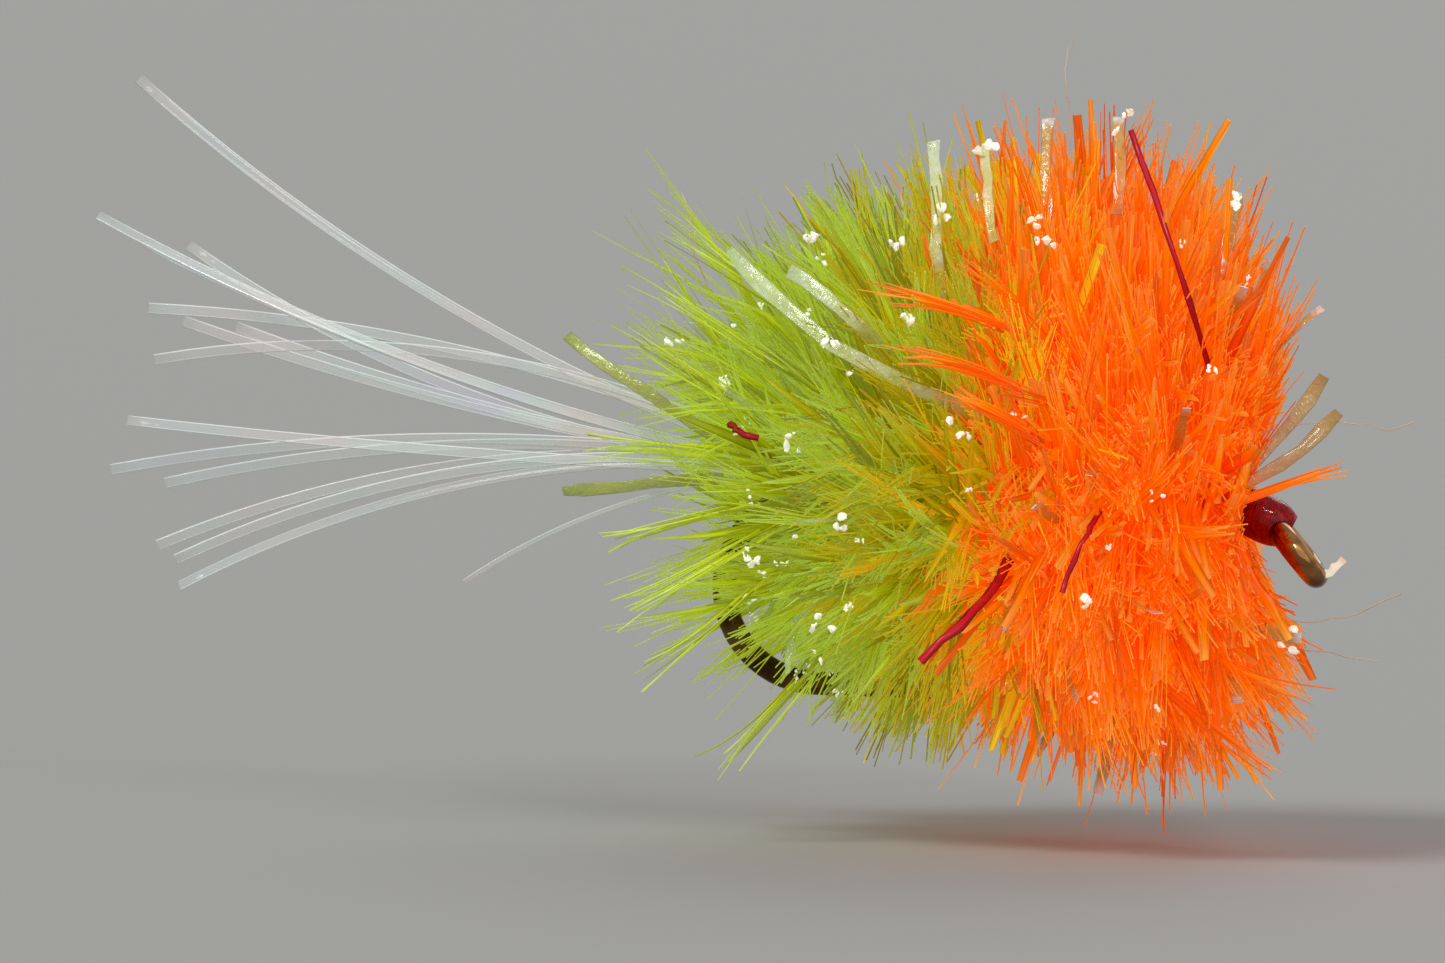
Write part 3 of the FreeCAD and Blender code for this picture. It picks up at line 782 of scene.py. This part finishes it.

# %% [markdown]
# ## Pearl film
# Strips of pearl film are spun into the chenille. Each is a thin flat ribbon that
# crinkles, so it flashes white where a facet meets the light; that is painted into its colour
# as white patches of noise. The strips are flat bevels swept along a few points, and the
# short flecks are the spots where a strip comes up through the pile, white and emitting
# light as a painted sparkle.

# %% Film finishes
def film_finish(name, along, see_through, painted_flash_strength):
    """Glossy crinkled film: colour stops from root to tip, how much it hides, and how strongly
    painted white patches of light show on it."""
    finish, tree, shader = new_finish(name, Roughness=0.14, Alpha=see_through)
    shader.inputs["Specular IOR Level"].default_value = 0.9
    shader.inputs["Coat Weight"].default_value = 0.6
    _, length, _ = own_map(tree)
    # White noise screened into the colour: painted patches of reflected light.
    painted_flash = ramp(tree, [(0.42, (0.0, 0.0, 0.0)), (0.62, (1.0, 1.0, 1.0))], noise(tree, 2.2))
    colour = mixed(tree, ramp(tree, along, length), painted_flash, "SCREEN", painted_flash_strength)
    tree.links.new(colour, shader.inputs["Base Color"])
    bump(tree, shader, noise(tree, 5.0, 3.0), 0.9, 0.08 * MM)
    return finish


mint_film = film_finish("mint_pearl_film",
                        [(0.0, (0.62, 0.56, 0.06)), (0.5, (0.70, 0.76, 0.26)),
                         (1.0, (0.70, 0.84, 0.46))], 0.50, 0.30)
# The white last stops paint a sparkle on the strips' cut ends.
ochre_film = film_finish("ochre_pearl_film",
                         [(0.0, (0.85, 0.18, 0.0)), (0.5, (0.74, 0.34, 0.02)),
                          (0.90, (0.66, 0.38, 0.05)), (0.96, (0.90, 0.86, 0.80)),
                          (1.0, (0.95, 0.93, 0.90))], 0.70, 0.06)
olive_film = film_finish("olive_film",
                         [(0.0, (0.50, 0.50, 0.02)), (1.0, (0.46, 0.54, 0.05))], 0.62, 0.0)
ochre_blade = film_finish("ochre_film",
                          [(0.0, (0.85, 0.20, 0.0)), (0.6, (0.66, 0.36, 0.02)),
                           (1.0, (0.56, 0.36, 0.03))], 0.60, 0.0)
white_film_painted_sparkle = film_finish("white_pearl_film_painted_sparkle",
                         [(0.0, (0.88, 0.92, 0.62)), (1.0, (0.92, 0.93, 0.76))], 1.0, 0.3)
# The white film emits light as a painted sparkle, though it is no lamp.
shader = white_film_painted_sparkle.node_tree.nodes["Principled BSDF"]
shader.inputs["Emission Color"].default_value = (1.0, 1.0, 0.86, 1)
shader.inputs["Emission Strength"].default_value = 0.35
print("film:", mint_film.name, ochre_film.name, olive_film.name, ochre_blade.name,
      white_film_painted_sparkle.name)

# %% [markdown]
# A strip follows a smooth line through a few points. Seen from its edge it would vanish,
# so the strips that matter are turned flat to the side. Blender carries a sweep's width
# along the bends of its path, and the helper does the same sum to find the tilt.

# %% Ribbons through given points
def through(points, count):
    """Evenly spaced points on a smooth line through a few given ones."""
    points = np.array(points, dtype=float)
    steps = np.concatenate([[0], np.cumsum(np.linalg.norm(np.diff(points, axis=0), axis=1))])
    places = np.linspace(0, steps[-1], count)
    line = np.stack([np.interp(places, steps, points[:, k]) for k in range(3)], axis=1)
    for _ in range(2):
        line[1:-1] = 0.25 * line[:-2] + 0.5 * line[1:-1] + 0.25 * line[2:]
    return line


def facing(paths):
    """The tilts that turn a swept strip's flat side to the side of the fly. A strip starts
    with its width level, and carries that along the bends of its path."""
    ways = unit(np.gradient(paths, axis=1))
    wide = unit(np.cross(ways[:, 0], [0.0, 0.0, 1.0]))
    tilts = []
    for k in range(paths.shape[1]):
        if k:
            axis = np.cross(ways[:, k - 1], ways[:, k])
            turn = (ways[:, k - 1] * ways[:, k]).sum(1, keepdims=True)
            wide = (wide * turn + np.cross(axis, wide)
                    + axis * (axis * wide).sum(1, keepdims=True) / (1 + turn))
        goal = unit(np.cross(ways[:, k], [0.0, 1.0, 0.0]))
        over = np.cross(ways[:, k], wide)
        tilts.append(np.arctan2((goal * over).sum(1), (goal * wide).sum(1)))
    return np.unwrap(np.stack(tilts, axis=1), axis=1)


def ribbons(name, lines, half_widths, seed, section=STRIP, count=8, flat=0, crinkle=0.03,
            ends=1.0):
    """Strips through the lines, with any tilt, but for the first few: flat says how many
    show their flat side. ends: how wide the two ends are, as a share of the middle."""
    chance = np.random.default_rng(seed)
    paths = np.stack([through(line, count) for line in lines])
    paths += chance.normal(0, crinkle, paths.shape)
    radii = np.array(half_widths)[:, None] * chance.uniform(0.7, 1.1, (len(lines), count))
    radii *= ends + (1 - ends) * np.sin(math.pi * np.linspace(0.04, 0.96, count)) ** 0.5
    tilts = chance.uniform(0, math.pi, (len(lines), 1)) + np.linspace(0, 1.2, count)[None, :]
    if flat:
        tilts[:flat] = facing(paths[:flat]) + chance.normal(0, 0.2, (flat, count))
    return hair_mesh(name, paths, radii, chance.random(len(lines)), section, tilts)


print("a strip lying level is tilted by", facing(np.linspace([[0, 0, 0]], [[1, 0, 0]], 3,
                                                          axis=1))[0].round(2))

# %% [markdown]
# Most film lies in the pile by chance. Its lines start on the core as the tufts do, and
# the small flecks are bits of strip that just reach the surface, white and emitting light
# as a painted sparkle.

# %% Strips and flecks by chance
def scattered(chance, count, x_from, x_to, leans, outline, swirl, comb, part):
    """Lines that run out through the pile; part: the stretch of the way that shows."""
    roots, first, last, length = tufts(chance, count, x_from, x_to, leans, outline, swirl,
                                       comb, (0.9, 1.02))
    lines = []
    for k in range(count):
        low, high = length[k] * part[0], length[k] * part[1]
        bent = unit(last[k] + chance.normal(0, 0.06, 3))
        lines.append([roots[k] + low * last[k], roots[k] + (low + high) / 2 * last[k],
                      roots[k] + high * bent])
    return lines


def flecks(chance, places, size):
    """Three short bits close together at each place."""
    lines = []
    for place in places:
        for _ in range(3):
            spot = np.array(place) + chance.normal(0, size, 3)
            way = unit(chance.normal(0, 1, 3)) * size * chance.uniform(0.4, 1.1)
            lines.append([spot - way, spot, spot + way])
    return lines


def film_flecks_painted_sparkle(chance, placed_ones, x_from, x_to, count, leans, outline, swirl, comb, seed):
    """Large flecks at the given places, and small ones scattered through a section: bits of film
    with a painted sparkle.
    """
    lines = scattered(chance, count, x_from, x_to, leans, outline, swirl, comb, (0.3, 0.90))
    spots = [line[2] for line in lines]
    bits = flecks(chance, placed_ones, 0.15) + flecks(chance, spots, 0.09)
    half_widths = [0.14] * (3 * len(placed_ones)) + [0.065] * (3 * count)
    return ribbons("flecks", bits, half_widths, seed, PEBBLE, 6, crinkle=0.012, ends=0.1)


print("flecks lie in threes")

# %% [markdown]
# The strips on the near side are placed one by one, root first, in millimetres. In the
# green section they are mint and pearly, and two olive ones stick out beside the tail.

# %% The green section's film
GREEN_STRIPS = [
    [(-7.6, -4, 3.2), (-8.7, -5.9, 3.8), (-10.2, -6.2, 4.4), (-12.2, -5.8, 5.2),
     (-13.8, -4.5, 6.4), (-15, -3, 7.5)],
    [(-10.6, -5, 5), (-11.3, -6.6, 5.8), (-12.2, -6.3, 6.5), (-13.2, -5.4, 7.2)],
    [(-9.3, -5, 6.5), (-9.4, -6, 7.5), (-9.5, -4.6, 9.1), (-9.8, -2, 10.5)],
    [(-8, -4.6, 8), (-8.1, -4.6, 8.6), (-8.3, -3.8, 9.6), (-8.4, -2.4, 10.5)],
]
OLIVE_BLADES = [
    [(-15.2, -2.4, 2.6), (-17.2, -2, 3.8), (-18.8, -1.4, 4.7), (-19.3, -1, 5.1)],
    [(-15, -2, 1.5), (-16.9, -1.8, 1.4), (-18.3, -1.4, 1.1), (-19.3, -0.8, 1)],
]
# Places of the large flecks: painted sparkles of the film.
GREEN_FLECKS = [(-16.5, -2.6, 5), (-15, -3.6, 4.1), (-13.1, -6.2, 2.6),
                (-13.9, -4.9, -0.5), (-11.8, -6.7, 0.7), (-12.1, -5.6, -2),
                (-8.6, -7, 3.3), (-10.1, -6.6, 6.1), (-12.1, -6.4, 5.3),
                (-12.7, -4.6, 8), (-10.6, -5.6, 7.9), (-9.4, -5, 8.7)]
chance = np.random.default_rng(90)
strips = scattered(chance, 26, green_rear, green_front, (10, 50), GREEN_OUTLINE, 0.4, 45,
                   (0.3, 1.0))
piece = piece_of("green_flash", [
    ribbons("strips", GREEN_STRIPS + strips, [0.22, 0.20, 0.18, 0.14] + [0.12] * 26, 91,
            flat=4),
    ribbons("blades", OLIVE_BLADES, [0.17] * 2, 92, flat=2, crinkle=0.01),
    film_flecks_painted_sparkle(chance, GREEN_FLECKS, green_rear, green_front, 56, (5, 60), GREEN_OUTLINE, 0.4,
            50, 93),
], [mint_film, olive_film, white_film_painted_sparkle])

# %% [markdown]
# The orange section's film is stained ochre by the dye next to it, its ends carry a painted
# white sparkle, and one loose curl of white film, with a painted sparkle, hangs on the eye.

# %% The orange section's film
ORANGE_STRIPS = [
    [(-6.6, -3.4, 8), (-6.8, -2.6, 10), (-6.8, -1.6, 11.2)],
    [(-4.9, -2.6, 8.8), (-4.9, -1.8, 10.4), (-5, -1, 11.3)],
    [(-2.2, -2.4, 7.2), (-1.9, -1.8, 8.6), (-1.8, -1.2, 9.4)],
    [(-3.2, -3.6, -0.6), (-0.8, -3.2, -1.9), (-0.1, -2.6, -2.1), (0.2, -2, -2.2)],
]
OCHRE_BLADES = [
    [(-2.9, -2.8, 0.9), (-1.2, -2.5, 2.3), (-0.4, -2.2, 3.2), (0.2, -1.9, 4), (0.6, -1.6, 4.7)],
    [(-3, -3, 1.3), (-1.2, -2.8, 1.9), (-0.2, -2.5, 2.5), (0.5, -2.1, 3.1), (1, -1.8, 3.8)],
]
EYE_CURL = [[(0.3, -0.30, -0.45), (0.6, -0.34, -0.62), (0.85, -0.4, -0.52), (1.05, -0.45, -0.30),
             (1.25, -0.5, -0.20)]]
# Places of the large flecks: painted sparkles of the film.
ORANGE_FLECKS = [(-6.8, -5.5, 8.7), (-6.6, -5.9, 8.2), (-5.2, -6.9, -1.1), (-0.1, -2.7, -2.1),
                 (-4.9, -2, 11.3), (-8.3, -3, 10.5), (-1.8, -2.4, 9.2)]
strips = scattered(chance, 32, orange_rear, orange_front, (18, -28), ORANGE_OUTLINE, 0.5, 20,
                   (0.3, 1.02))
piece = piece_of("orange_flash", [
    ribbons("strips", ORANGE_STRIPS + strips, [0.18] * 4 + [0.15] * 32, 94, flat=4),
    ribbons("blades", OCHRE_BLADES, [0.20] * 2, 96, flat=2, crinkle=0.01),
    film_flecks_painted_sparkle(chance, ORANGE_FLECKS, orange_rear, orange_front, 22, (18, -28), ORANGE_OUTLINE,
            0.5, 20, 95),
    ribbons("curl", EYE_CURL, [0.12], 98, flat=1),
], [ochre_film, ochre_blade, white_film_painted_sparkle, white_film_painted_sparkle])

# %% [markdown]
# A few dark red strands run through both colours, and single stray hairs stick out. Their
# finishes are a fibre's, with less emitted painted light and less light through them.

# %% Finishes for red strands and stray hairs
red_strand = fibre_finish("red_strand", [(0.0, (0.60, 0.0, 0.01)), (1.0, (0.75, 0.02, 0.05))],
                          SHADES, 0.12, 0.3, 0.25)
stray_hair = fibre_finish("stray_hair", [(0.0, (0.80, 0.52, 0.30)), (1.0, (0.86, 0.80, 0.70))],
                          SHADES, 0.10, 0.4, 0.3)
print("finishes:", red_strand.name, stray_hair.name)

# %% [markdown]
# Both follow given lines, root first, in millimetres. The red ones are broad enough to
# show a flat side, and the stray hairs are round and very thin.

# %% Place the red strands and stray hairs
RED_STRANDS = [
    [(-2.3, -4.6, 5), (-2.6, -6.2, 6.3), (-3, -7, 7.3), (-3.5, -6.2, 8.6),
     (-4.1, -4.8, 9.9), (-4.6, -3.2, 11)],
    [(-7.2, -4, 0.2), (-7.6, -5, -0.8), (-8, -6.4, -1.3), (-8.4, -7.5, -1.7),
     (-8.9, -7.7, -2.2), (-9.5, -7.4, -2.7)],
    [(-5, -6.4, 1.2), (-5.2, -7.8, 0.7), (-5.6, -7.9, 0), (-5.8, -7.7, -0.8)],
    [(-14.8, -4.2, 3.1), (-14.4, -5.2, 2.9), (-13.9, -5.4, 2.8)],
    [(-6, 4.5, 6.5), (-6.4, 6.2, 7.4), (-7.2, 6.6, 8.2)],
    [(-2.6, 4, -1.5), (-2.9, 6.3, -2.6), (-3.6, 7.2, -3.4)],
]
STRAY_HAIRS = [
    [(-6.1, -1.8, 9.6), (-6.3, -1.2, 11.6), (-6.5, -0.8, 12.6), (-6.3, -0.6, 13.3)],
    [(-2, -2.8, -0.8), (-0.1, -2.8, -1.7), (1.5, -2.2, -1.6), (2.8, -1.8, -0.9)],
    [(-2, -2.6, 2.8), (-0.9, -2.6, 3.3), (1.1, -1.8, 3.6), (2.4, -1.3, 3.3), (3, -1, 3.5)],
    [(-2, -3.2, -1.6), (-0.6, -3.2, -2.1), (1, -2.6, -2.5), (2.3, -2, -2.7)],
    [(-15.6, -2, 6.6), (-16, -2, 7.6), (-16.2, -1.4, 8.5), (-16.4, -1, 9)],
    [(-2.4, -1.8, 5.6), (-0.9, -1.8, 6.7), (-0.3, -1.2, 7.6), (-0.2, -1, 8.1)],
]
RED_HALF_WIDTHS = [0.09, 0.14, 0.08, 0.10, 0.09, 0.09]
STRAY_RADIUS = 0.020
piece = piece_of("red_strands", [ribbons("red", RED_STRANDS, RED_HALF_WIDTHS, 96, BLADE,
                                         flat=4)], [red_strand])
piece = piece_of("stray_hairs", [ribbons("stray", STRAY_HAIRS, [STRAY_RADIUS] * 6, 97, ROUND,
                                         14)], [stray_hair])

# %% [markdown]
# ## The tail
# The tail is a fan of clear pearl film, cut square. Seen flat it hides almost nothing,
# and its two edges catch the light. A transparent material needs to know where the
# edges are, so V runs across each strip: opaque and pale at both edges, a painted highlight
# for the light that they catch, and clear between. Every strip follows the arc of its own
# strand in the frame, with a slight twist.

# %% Clear film
clear_film, tree, shader = new_finish("clear_pearl_film", Roughness=0.12)
shader.inputs["Specular IOR Level"].default_value = 0.8
_, _, across = own_map(tree)
# Opaque pale edges are a painted highlight for the light that the film's edges catch.
painted_edge_highlight = ramp(tree, [(0.0, (0.95, 0.95, 0.95)), (0.08, (0.80, 0.80, 0.80)),
                     (0.17, (0.17, 0.17, 0.17)), (0.83, (0.17, 0.17, 0.17)),
                     (0.92, (0.80, 0.80, 0.80)), (1.0, (0.95, 0.95, 0.95))], across)
tree.links.new(painted_edge_highlight, shader.inputs["Alpha"])
pearl = ramp(tree, [(0.30, (0.92, 0.84, 0.82)), (0.45, (0.88, 0.88, 0.86)),
                    (0.60, (0.80, 0.90, 0.86)), (0.75, (0.82, 0.82, 0.92))],
             noise(tree, 0.35, 1.0))
tree.links.new(pearl, shader.inputs["Base Color"])
print("the tail's film is", clear_film.name)

# %% [markdown]
# A strand is an arc: it leaves the tie-in at one rise and ends at another, so a length
# and two angles are enough for each. Neighbours stand a little apart, side by side, and
# three of them are doubled by a second strand that parts towards the tip.

# %% The strands
STRANDS = [(18, 4, -29), (18.2, 6.5, -24), (18.5, 22, 0.5), (17.9, 2, 33),
           (17.2, 5, 17.5), (20.7, 16.5, 40), (17.9, 27, -11.5), (20, 9, 27),
           (18.5, 9, -12), (18, 0.5, 5), (17.1, 8, -26.5), (9.7, -2.5, -35)]
FAN = 2.0
SPACING = 0.15
DOUBLED = {8: -1.8, 9: -2.4, 5: 1.2}
HALF_WIDTH = 0.145
THIN_STRAND = 12
THIN_HALF_WIDTH = 0.06
BESIDE = 0.06
RINGS = 22


def strand_line(number, extra=0.0, shorter=0.0):
    """The middle line of a strand: an arc that leaves the tie-in at one rise and reaches
    its tip at another. extra: degrees added to the rise at the tip."""
    length, rise, rise_tip = STRANDS[number - 1]
    rises = np.radians(rise + (rise_tip + extra - rise) * np.linspace(0, 1, RINGS))
    each = (length - shorter) / (RINGS - 1)
    side = number - (len(STRANDS) + 1) / 2
    yaw = math.radians(side * FAN)
    out = np.concatenate([[0], np.cumsum(np.cos((rises[1:] + rises[:-1]) / 2))]) * each
    up = np.concatenate([[0], np.cumsum(np.sin((rises[1:] + rises[:-1]) / 2))]) * each
    return np.stack([tie_in.x / MM - out * math.cos(yaw),
                     -side * SPACING - out * math.sin(yaw),
                     tie_in.z / MM + up], axis=1)


for number in range(1, len(STRANDS) + 1):
    chance = np.random.default_rng(200 + number)
    lines = [strand_line(number)]
    if number in DOUBLED:
        lines.append(strand_line(number, DOUBLED[number], 1.4)
                     + np.linspace(0, 1, RINGS)[:, None] * np.array([[0, BESIDE, 0]]))
    paths = np.stack(lines)
    half = THIN_HALF_WIDTH if number == THIN_STRAND else HALF_WIDTH
    turned = (math.pi / 2 + chance.uniform(-0.5, 0.5)
              + chance.uniform(-0.7, 0.7) * np.linspace(0, 1, RINGS)[None, :] ** 2)
    mesh = hair_mesh("strand", paths, np.full(paths.shape[:2], half), None, STRIP,
                     np.repeat(turned, len(lines), axis=0))
    piece = piece_of("film_strand_%02d" % number, [mesh], [clear_film], "tail")
    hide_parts("tail_strand_%02d" % number)

# %% [markdown]
# ## Metal and thread
# The hook is spring steel with a dark bronze plating, thin enough that copper shows where
# it is rubbed, and darker towards the bend. The frame's shape is right, so the hook only
# gets a finish.

# %% Plate the hook
def dress(node, finish):
    """Puts a finish on a node of the frame."""
    for slot in bpy.data.objects[node].material_slots:
        slot.material = finish


DARK_BEHIND = -14 * MM
PALE_AHEAD = -4 * MM
bronze, tree, shader = new_finish("dark_bronze_plate", Metallic=1.0)
tones = ramp(tree, [(0.30, (0.10, 0.055, 0.03)), (0.45, (0.36, 0.17, 0.06)),
                    (0.60, (0.78, 0.39, 0.14)), (0.75, (0.92, 0.62, 0.30))],
             noise(tree, 1.1, 4.0, (0.35, 1.0, 1.0)))
place = tree.nodes.new("ShaderNodeTexCoord")
parts = tree.nodes.new("ShaderNodeSeparateXYZ")
tree.links.new(place.outputs["Object"], parts.inputs["Vector"])
along = tree.nodes.new("ShaderNodeMapRange")
along.inputs["From Min"].default_value = DARK_BEHIND
along.inputs["From Max"].default_value = PALE_AHEAD
tree.links.new(parts.outputs["X"], along.inputs["Value"])
darker = ramp(tree, [(0.0, (0.20, 0.22, 0.16)), (1.0, (1.0, 1.0, 1.0))],
              along.outputs["Result"])
tree.links.new(mixed(tree, tones, darker), shader.inputs["Base Color"])
rubbed = noise(tree, 9.0, 3.0)
gloss = ramp(tree, [(0.3, (0.04, 0.04, 0.04)), (0.7, (0.13, 0.13, 0.13))], rubbed)
tree.links.new(gloss, shader.inputs["Roughness"])
bump(tree, shader, rubbed, 0.15, 0.01 * MM)
dress("hook", bronze)
print("hook plated with", bronze.name)

# %% [markdown]
# Thread and cord lie in even turns. A sine wave across the turns gives ridges that only
# the light sees, and the same wave paints shade into the grooves between them.

# %% Thread and cords under the pile
def ribbed(tree, shader, direction, pitch, depth):
    """Ridges of thread wraps across a direction, on Object coordinates."""
    place = tree.nodes.new("ShaderNodeTexCoord")
    along = tree.nodes.new("ShaderNodeVectorMath")
    along.operation = "DOT_PRODUCT"
    along.inputs[1].default_value = tuple(direction)
    tree.links.new(place.outputs["Object"], along.inputs[0])
    ridge = tree.nodes.new("ShaderNodeMath")
    ridge.operation = "SINE"
    scale = tree.nodes.new("ShaderNodeMath")
    scale.operation = "MULTIPLY"
    scale.inputs[1].default_value = 2 * math.pi / pitch
    tree.links.new(along.outputs["Value"], scale.inputs[0])
    tree.links.new(scale.outputs["Value"], ridge.inputs[0])
    bump(tree, shader, ridge.outputs["Value"], 1.0, depth)
    return ridge.outputs["Value"]


red_thread, tree, shader = new_finish("red_thread", Roughness=0.5)
ridge = ribbed(tree, shader, (1, 0, 0), 0.12 * MM, 0.02 * MM)
# Darker in the grooves between wraps: painted shade.
tones = ramp(tree, [(0.0, (0.10, 0.0, 0.0)), (1.0, (0.30, 0.008, 0.012))], ridge)
tree.links.new(tones, shader.inputs["Base Color"])
dress("thread_base", red_thread)


def cord_finish(name, dark, light):
    """A twisted cord: fine oblique ridges on Object coordinates, with painted shade in the
    grooves between them.
    """
    finish, tree, shader = new_finish(name, Roughness=0.6)
    ridge = ribbed(tree, shader, (0.6, 0.5, 0.62), 0.16 * MM, 0.02 * MM)
    # Darker in the grooves: painted shade.
    tree.links.new(ramp(tree, [(0.0, dark), (1.0, light)], ridge), shader.inputs["Base Color"])
    return finish


dress("green_core", cord_finish("green_cord", (0.25, 0.22, 0.0), (0.45, 0.48, 0.02)))
dress("orange_core", cord_finish("orange_cord", (0.45, 0.02, 0.0), (0.85, 0.10, 0.0)))
print("dressed: thread_base, green_core, orange_core")

# %% [markdown]
# ## The head
# The head is thread wound over itself and then varnished. One spiral curve, whose radius
# swells in the middle, gives every wrap. It droops with the neck of the hook.

# %% Wind the head
head_middle = middle("thread_head") / MM
HEAD_DROOP = math.radians(25.0)
HEAD_HALF = 0.78
HEAD_WIDE = 0.60
WRAPS = 22
THREAD = 0.045
FILM = 0.045
END_HOLE = 0.42
head_turn = Matrix.Translation(head_middle) @ Matrix.Rotation(HEAD_DROOP, 4, "Y")


def swell(share):
    """The head's radius in the middle of the thread, at -1 the rear end to 1 the front."""
    return HEAD_WIDE * (1 - 0.30 * abs(share) ** 2.6) - THREAD


maroon, tree, shader = new_finish("maroon_thread", Roughness=0.4)
shader.inputs["Specular IOR Level"].default_value = 0.08
fuzz = noise(tree, 6.0, 3.0)
tones = ramp(tree, [(0.3, (0.28, 0.001, 0.002)), (0.7, (0.70, 0.006, 0.010))], fuzz)
tree.links.new(tones, shader.inputs["Base Color"])
bump(tree, shader, fuzz, 0.3, 0.02 * MM)

count = WRAPS * 20
share = np.linspace(-1, 1, count)
angle = np.linspace(0, 2 * math.pi * WRAPS, count)
wide = np.array([swell(v) for v in share])
spiral = np.stack([share * HEAD_HALF, wide * np.cos(angle), wide * np.sin(angle)], axis=1)
spiral = np.array([list(head_turn @ Vector(p)) for p in spiral])
EIGHT = bevel_shape("thread_round", [(math.cos(a), math.sin(a))
                                     for a in np.linspace(0, 2 * math.pi, 9)[:-1]])
mesh = hair_mesh("wraps", spiral[None], np.full((1, count), THREAD), np.array([0.5]), EIGHT)
piece = piece_of("head_wraps", [mesh], [maroon])
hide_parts("thread_head")

# %% [markdown]
# A clear coat on the thread's own finish would miss the thick lens of varnish, so the
# varnish is a shell of its own. Its profile is spun round the head, and because a spun
# shape can come out inside out, its normals are worked out again.

# %% Turn the varnish
varnish, tree, shader = new_finish("clear_varnish", Roughness=0.05)
shader.inputs["Base Color"].default_value = (1.0, 0.25, 0.25, 1)
shader.inputs["Transmission Weight"].default_value = 1.0
shader.inputs["IOR"].default_value = 1.33
bump(tree, shader, noise(tree, 1.6), 0.5, 0.10 * MM)
shape = bmesh.new()
rim = []
for v in np.linspace(-1, 1, 13):
    lens = swell(v) + THREAD + FILM * (1 - 0.5 * abs(v) ** 3)
    rim.append(shape.verts.new((v * (HEAD_HALF + 0.05), 0, lens)))
ends = [shape.verts.new((x, 0, END_HOLE)) for x in (-HEAD_HALF - 0.05, HEAD_HALF + 0.05)]
profile = [shape.edges.new(pair) for pair in zip([ends[0]] + rim, rim + [ends[1]])]
profile += [shape.edges.new((ends[1], ends[0]))]
bmesh.ops.spin(shape, geom=profile, cent=(0, 0, 0), axis=(1, 0, 0), angle=2 * math.pi,
               steps=32, use_merge=True)
bmesh.ops.remove_doubles(shape, verts=shape.verts, dist=1e-5)
bmesh.ops.recalc_face_normals(shape, faces=shape.faces)
bmesh.ops.transform(shape, matrix=Matrix.Scale(MM, 4) @ head_turn, verts=shape.verts)
for face in shape.faces:
    face.smooth = True
result = bpy.data.meshes.new("head_gloss")
shape.to_mesh(result)
shape.free()
piece = show("head_gloss", result, [varnish])
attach(piece, "body")
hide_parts("head_varnish")
print("head of", WRAPS, "wraps")

# %% [markdown]
# ## Floor and light
# A plain pale floor just below the lowest tips. Sun lamps with a wide angle are as soft as
# large studio lamps, and light a broad floor evenly.

# %% Floor and lamps
floor_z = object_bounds()[0][2] - 0.4 * MM
shape = bmesh.new()
bmesh.ops.create_grid(shape, x_segments=1, y_segments=1, size=3.0)
bmesh.ops.translate(shape, verts=shape.verts, vec=(0, 0, floor_z))
floor_mesh = bpy.data.meshes.new("floor")
shape.to_mesh(floor_mesh)
shape.free()
pale, tree, shader = new_finish("pale_floor", Roughness=0.9)
shader.inputs["Base Color"].default_value = (0.30, 0.30, 0.288, 1)
floor = show("floor", floor_mesh, [pale])


def lamp(name, place, soft, power):
    """A broad distant lamp: soft is the angle that it fills, in degrees."""
    data = bpy.data.lights.new(name, "SUN")
    data.angle = math.radians(soft)
    data.energy = power
    light = bpy.data.objects.new(name, data)
    light.location = place
    light.rotation_euler = (-light.location).to_track_quat("-Z", "Y").to_euler()
    bpy.context.scene.collection.objects.link(light)


lamp("key", Vector((-0.16, -0.18, 0.26)), 20, 1.68)
lamp("glint", Vector((0.10, -0.25, 0.20)), 8, 0.36)
lamp("fill", Vector((0.25, -0.28, 0.12)), 60, 0.50)
lamp("back", Vector((0.05, 0.30, 0.25)), 40, 0.60)
print("floor at", round(floor_z / MM, 2), "mm, four lamps")
world = bpy.data.worlds.new("studio")
world.use_nodes = True
world.node_tree.nodes["Background"].inputs["Color"].default_value = (1, 1, 1, 1)
world.node_tree.nodes["Background"].inputs["Strength"].default_value = 0.42
bpy.context.scene.world = world
bpy.context.scene.view_settings.view_transform = "Standard"

# %% [markdown]
# Loose pile may reach a little past the frame's box, and no further.

# %% Finish
print("the scene is built")
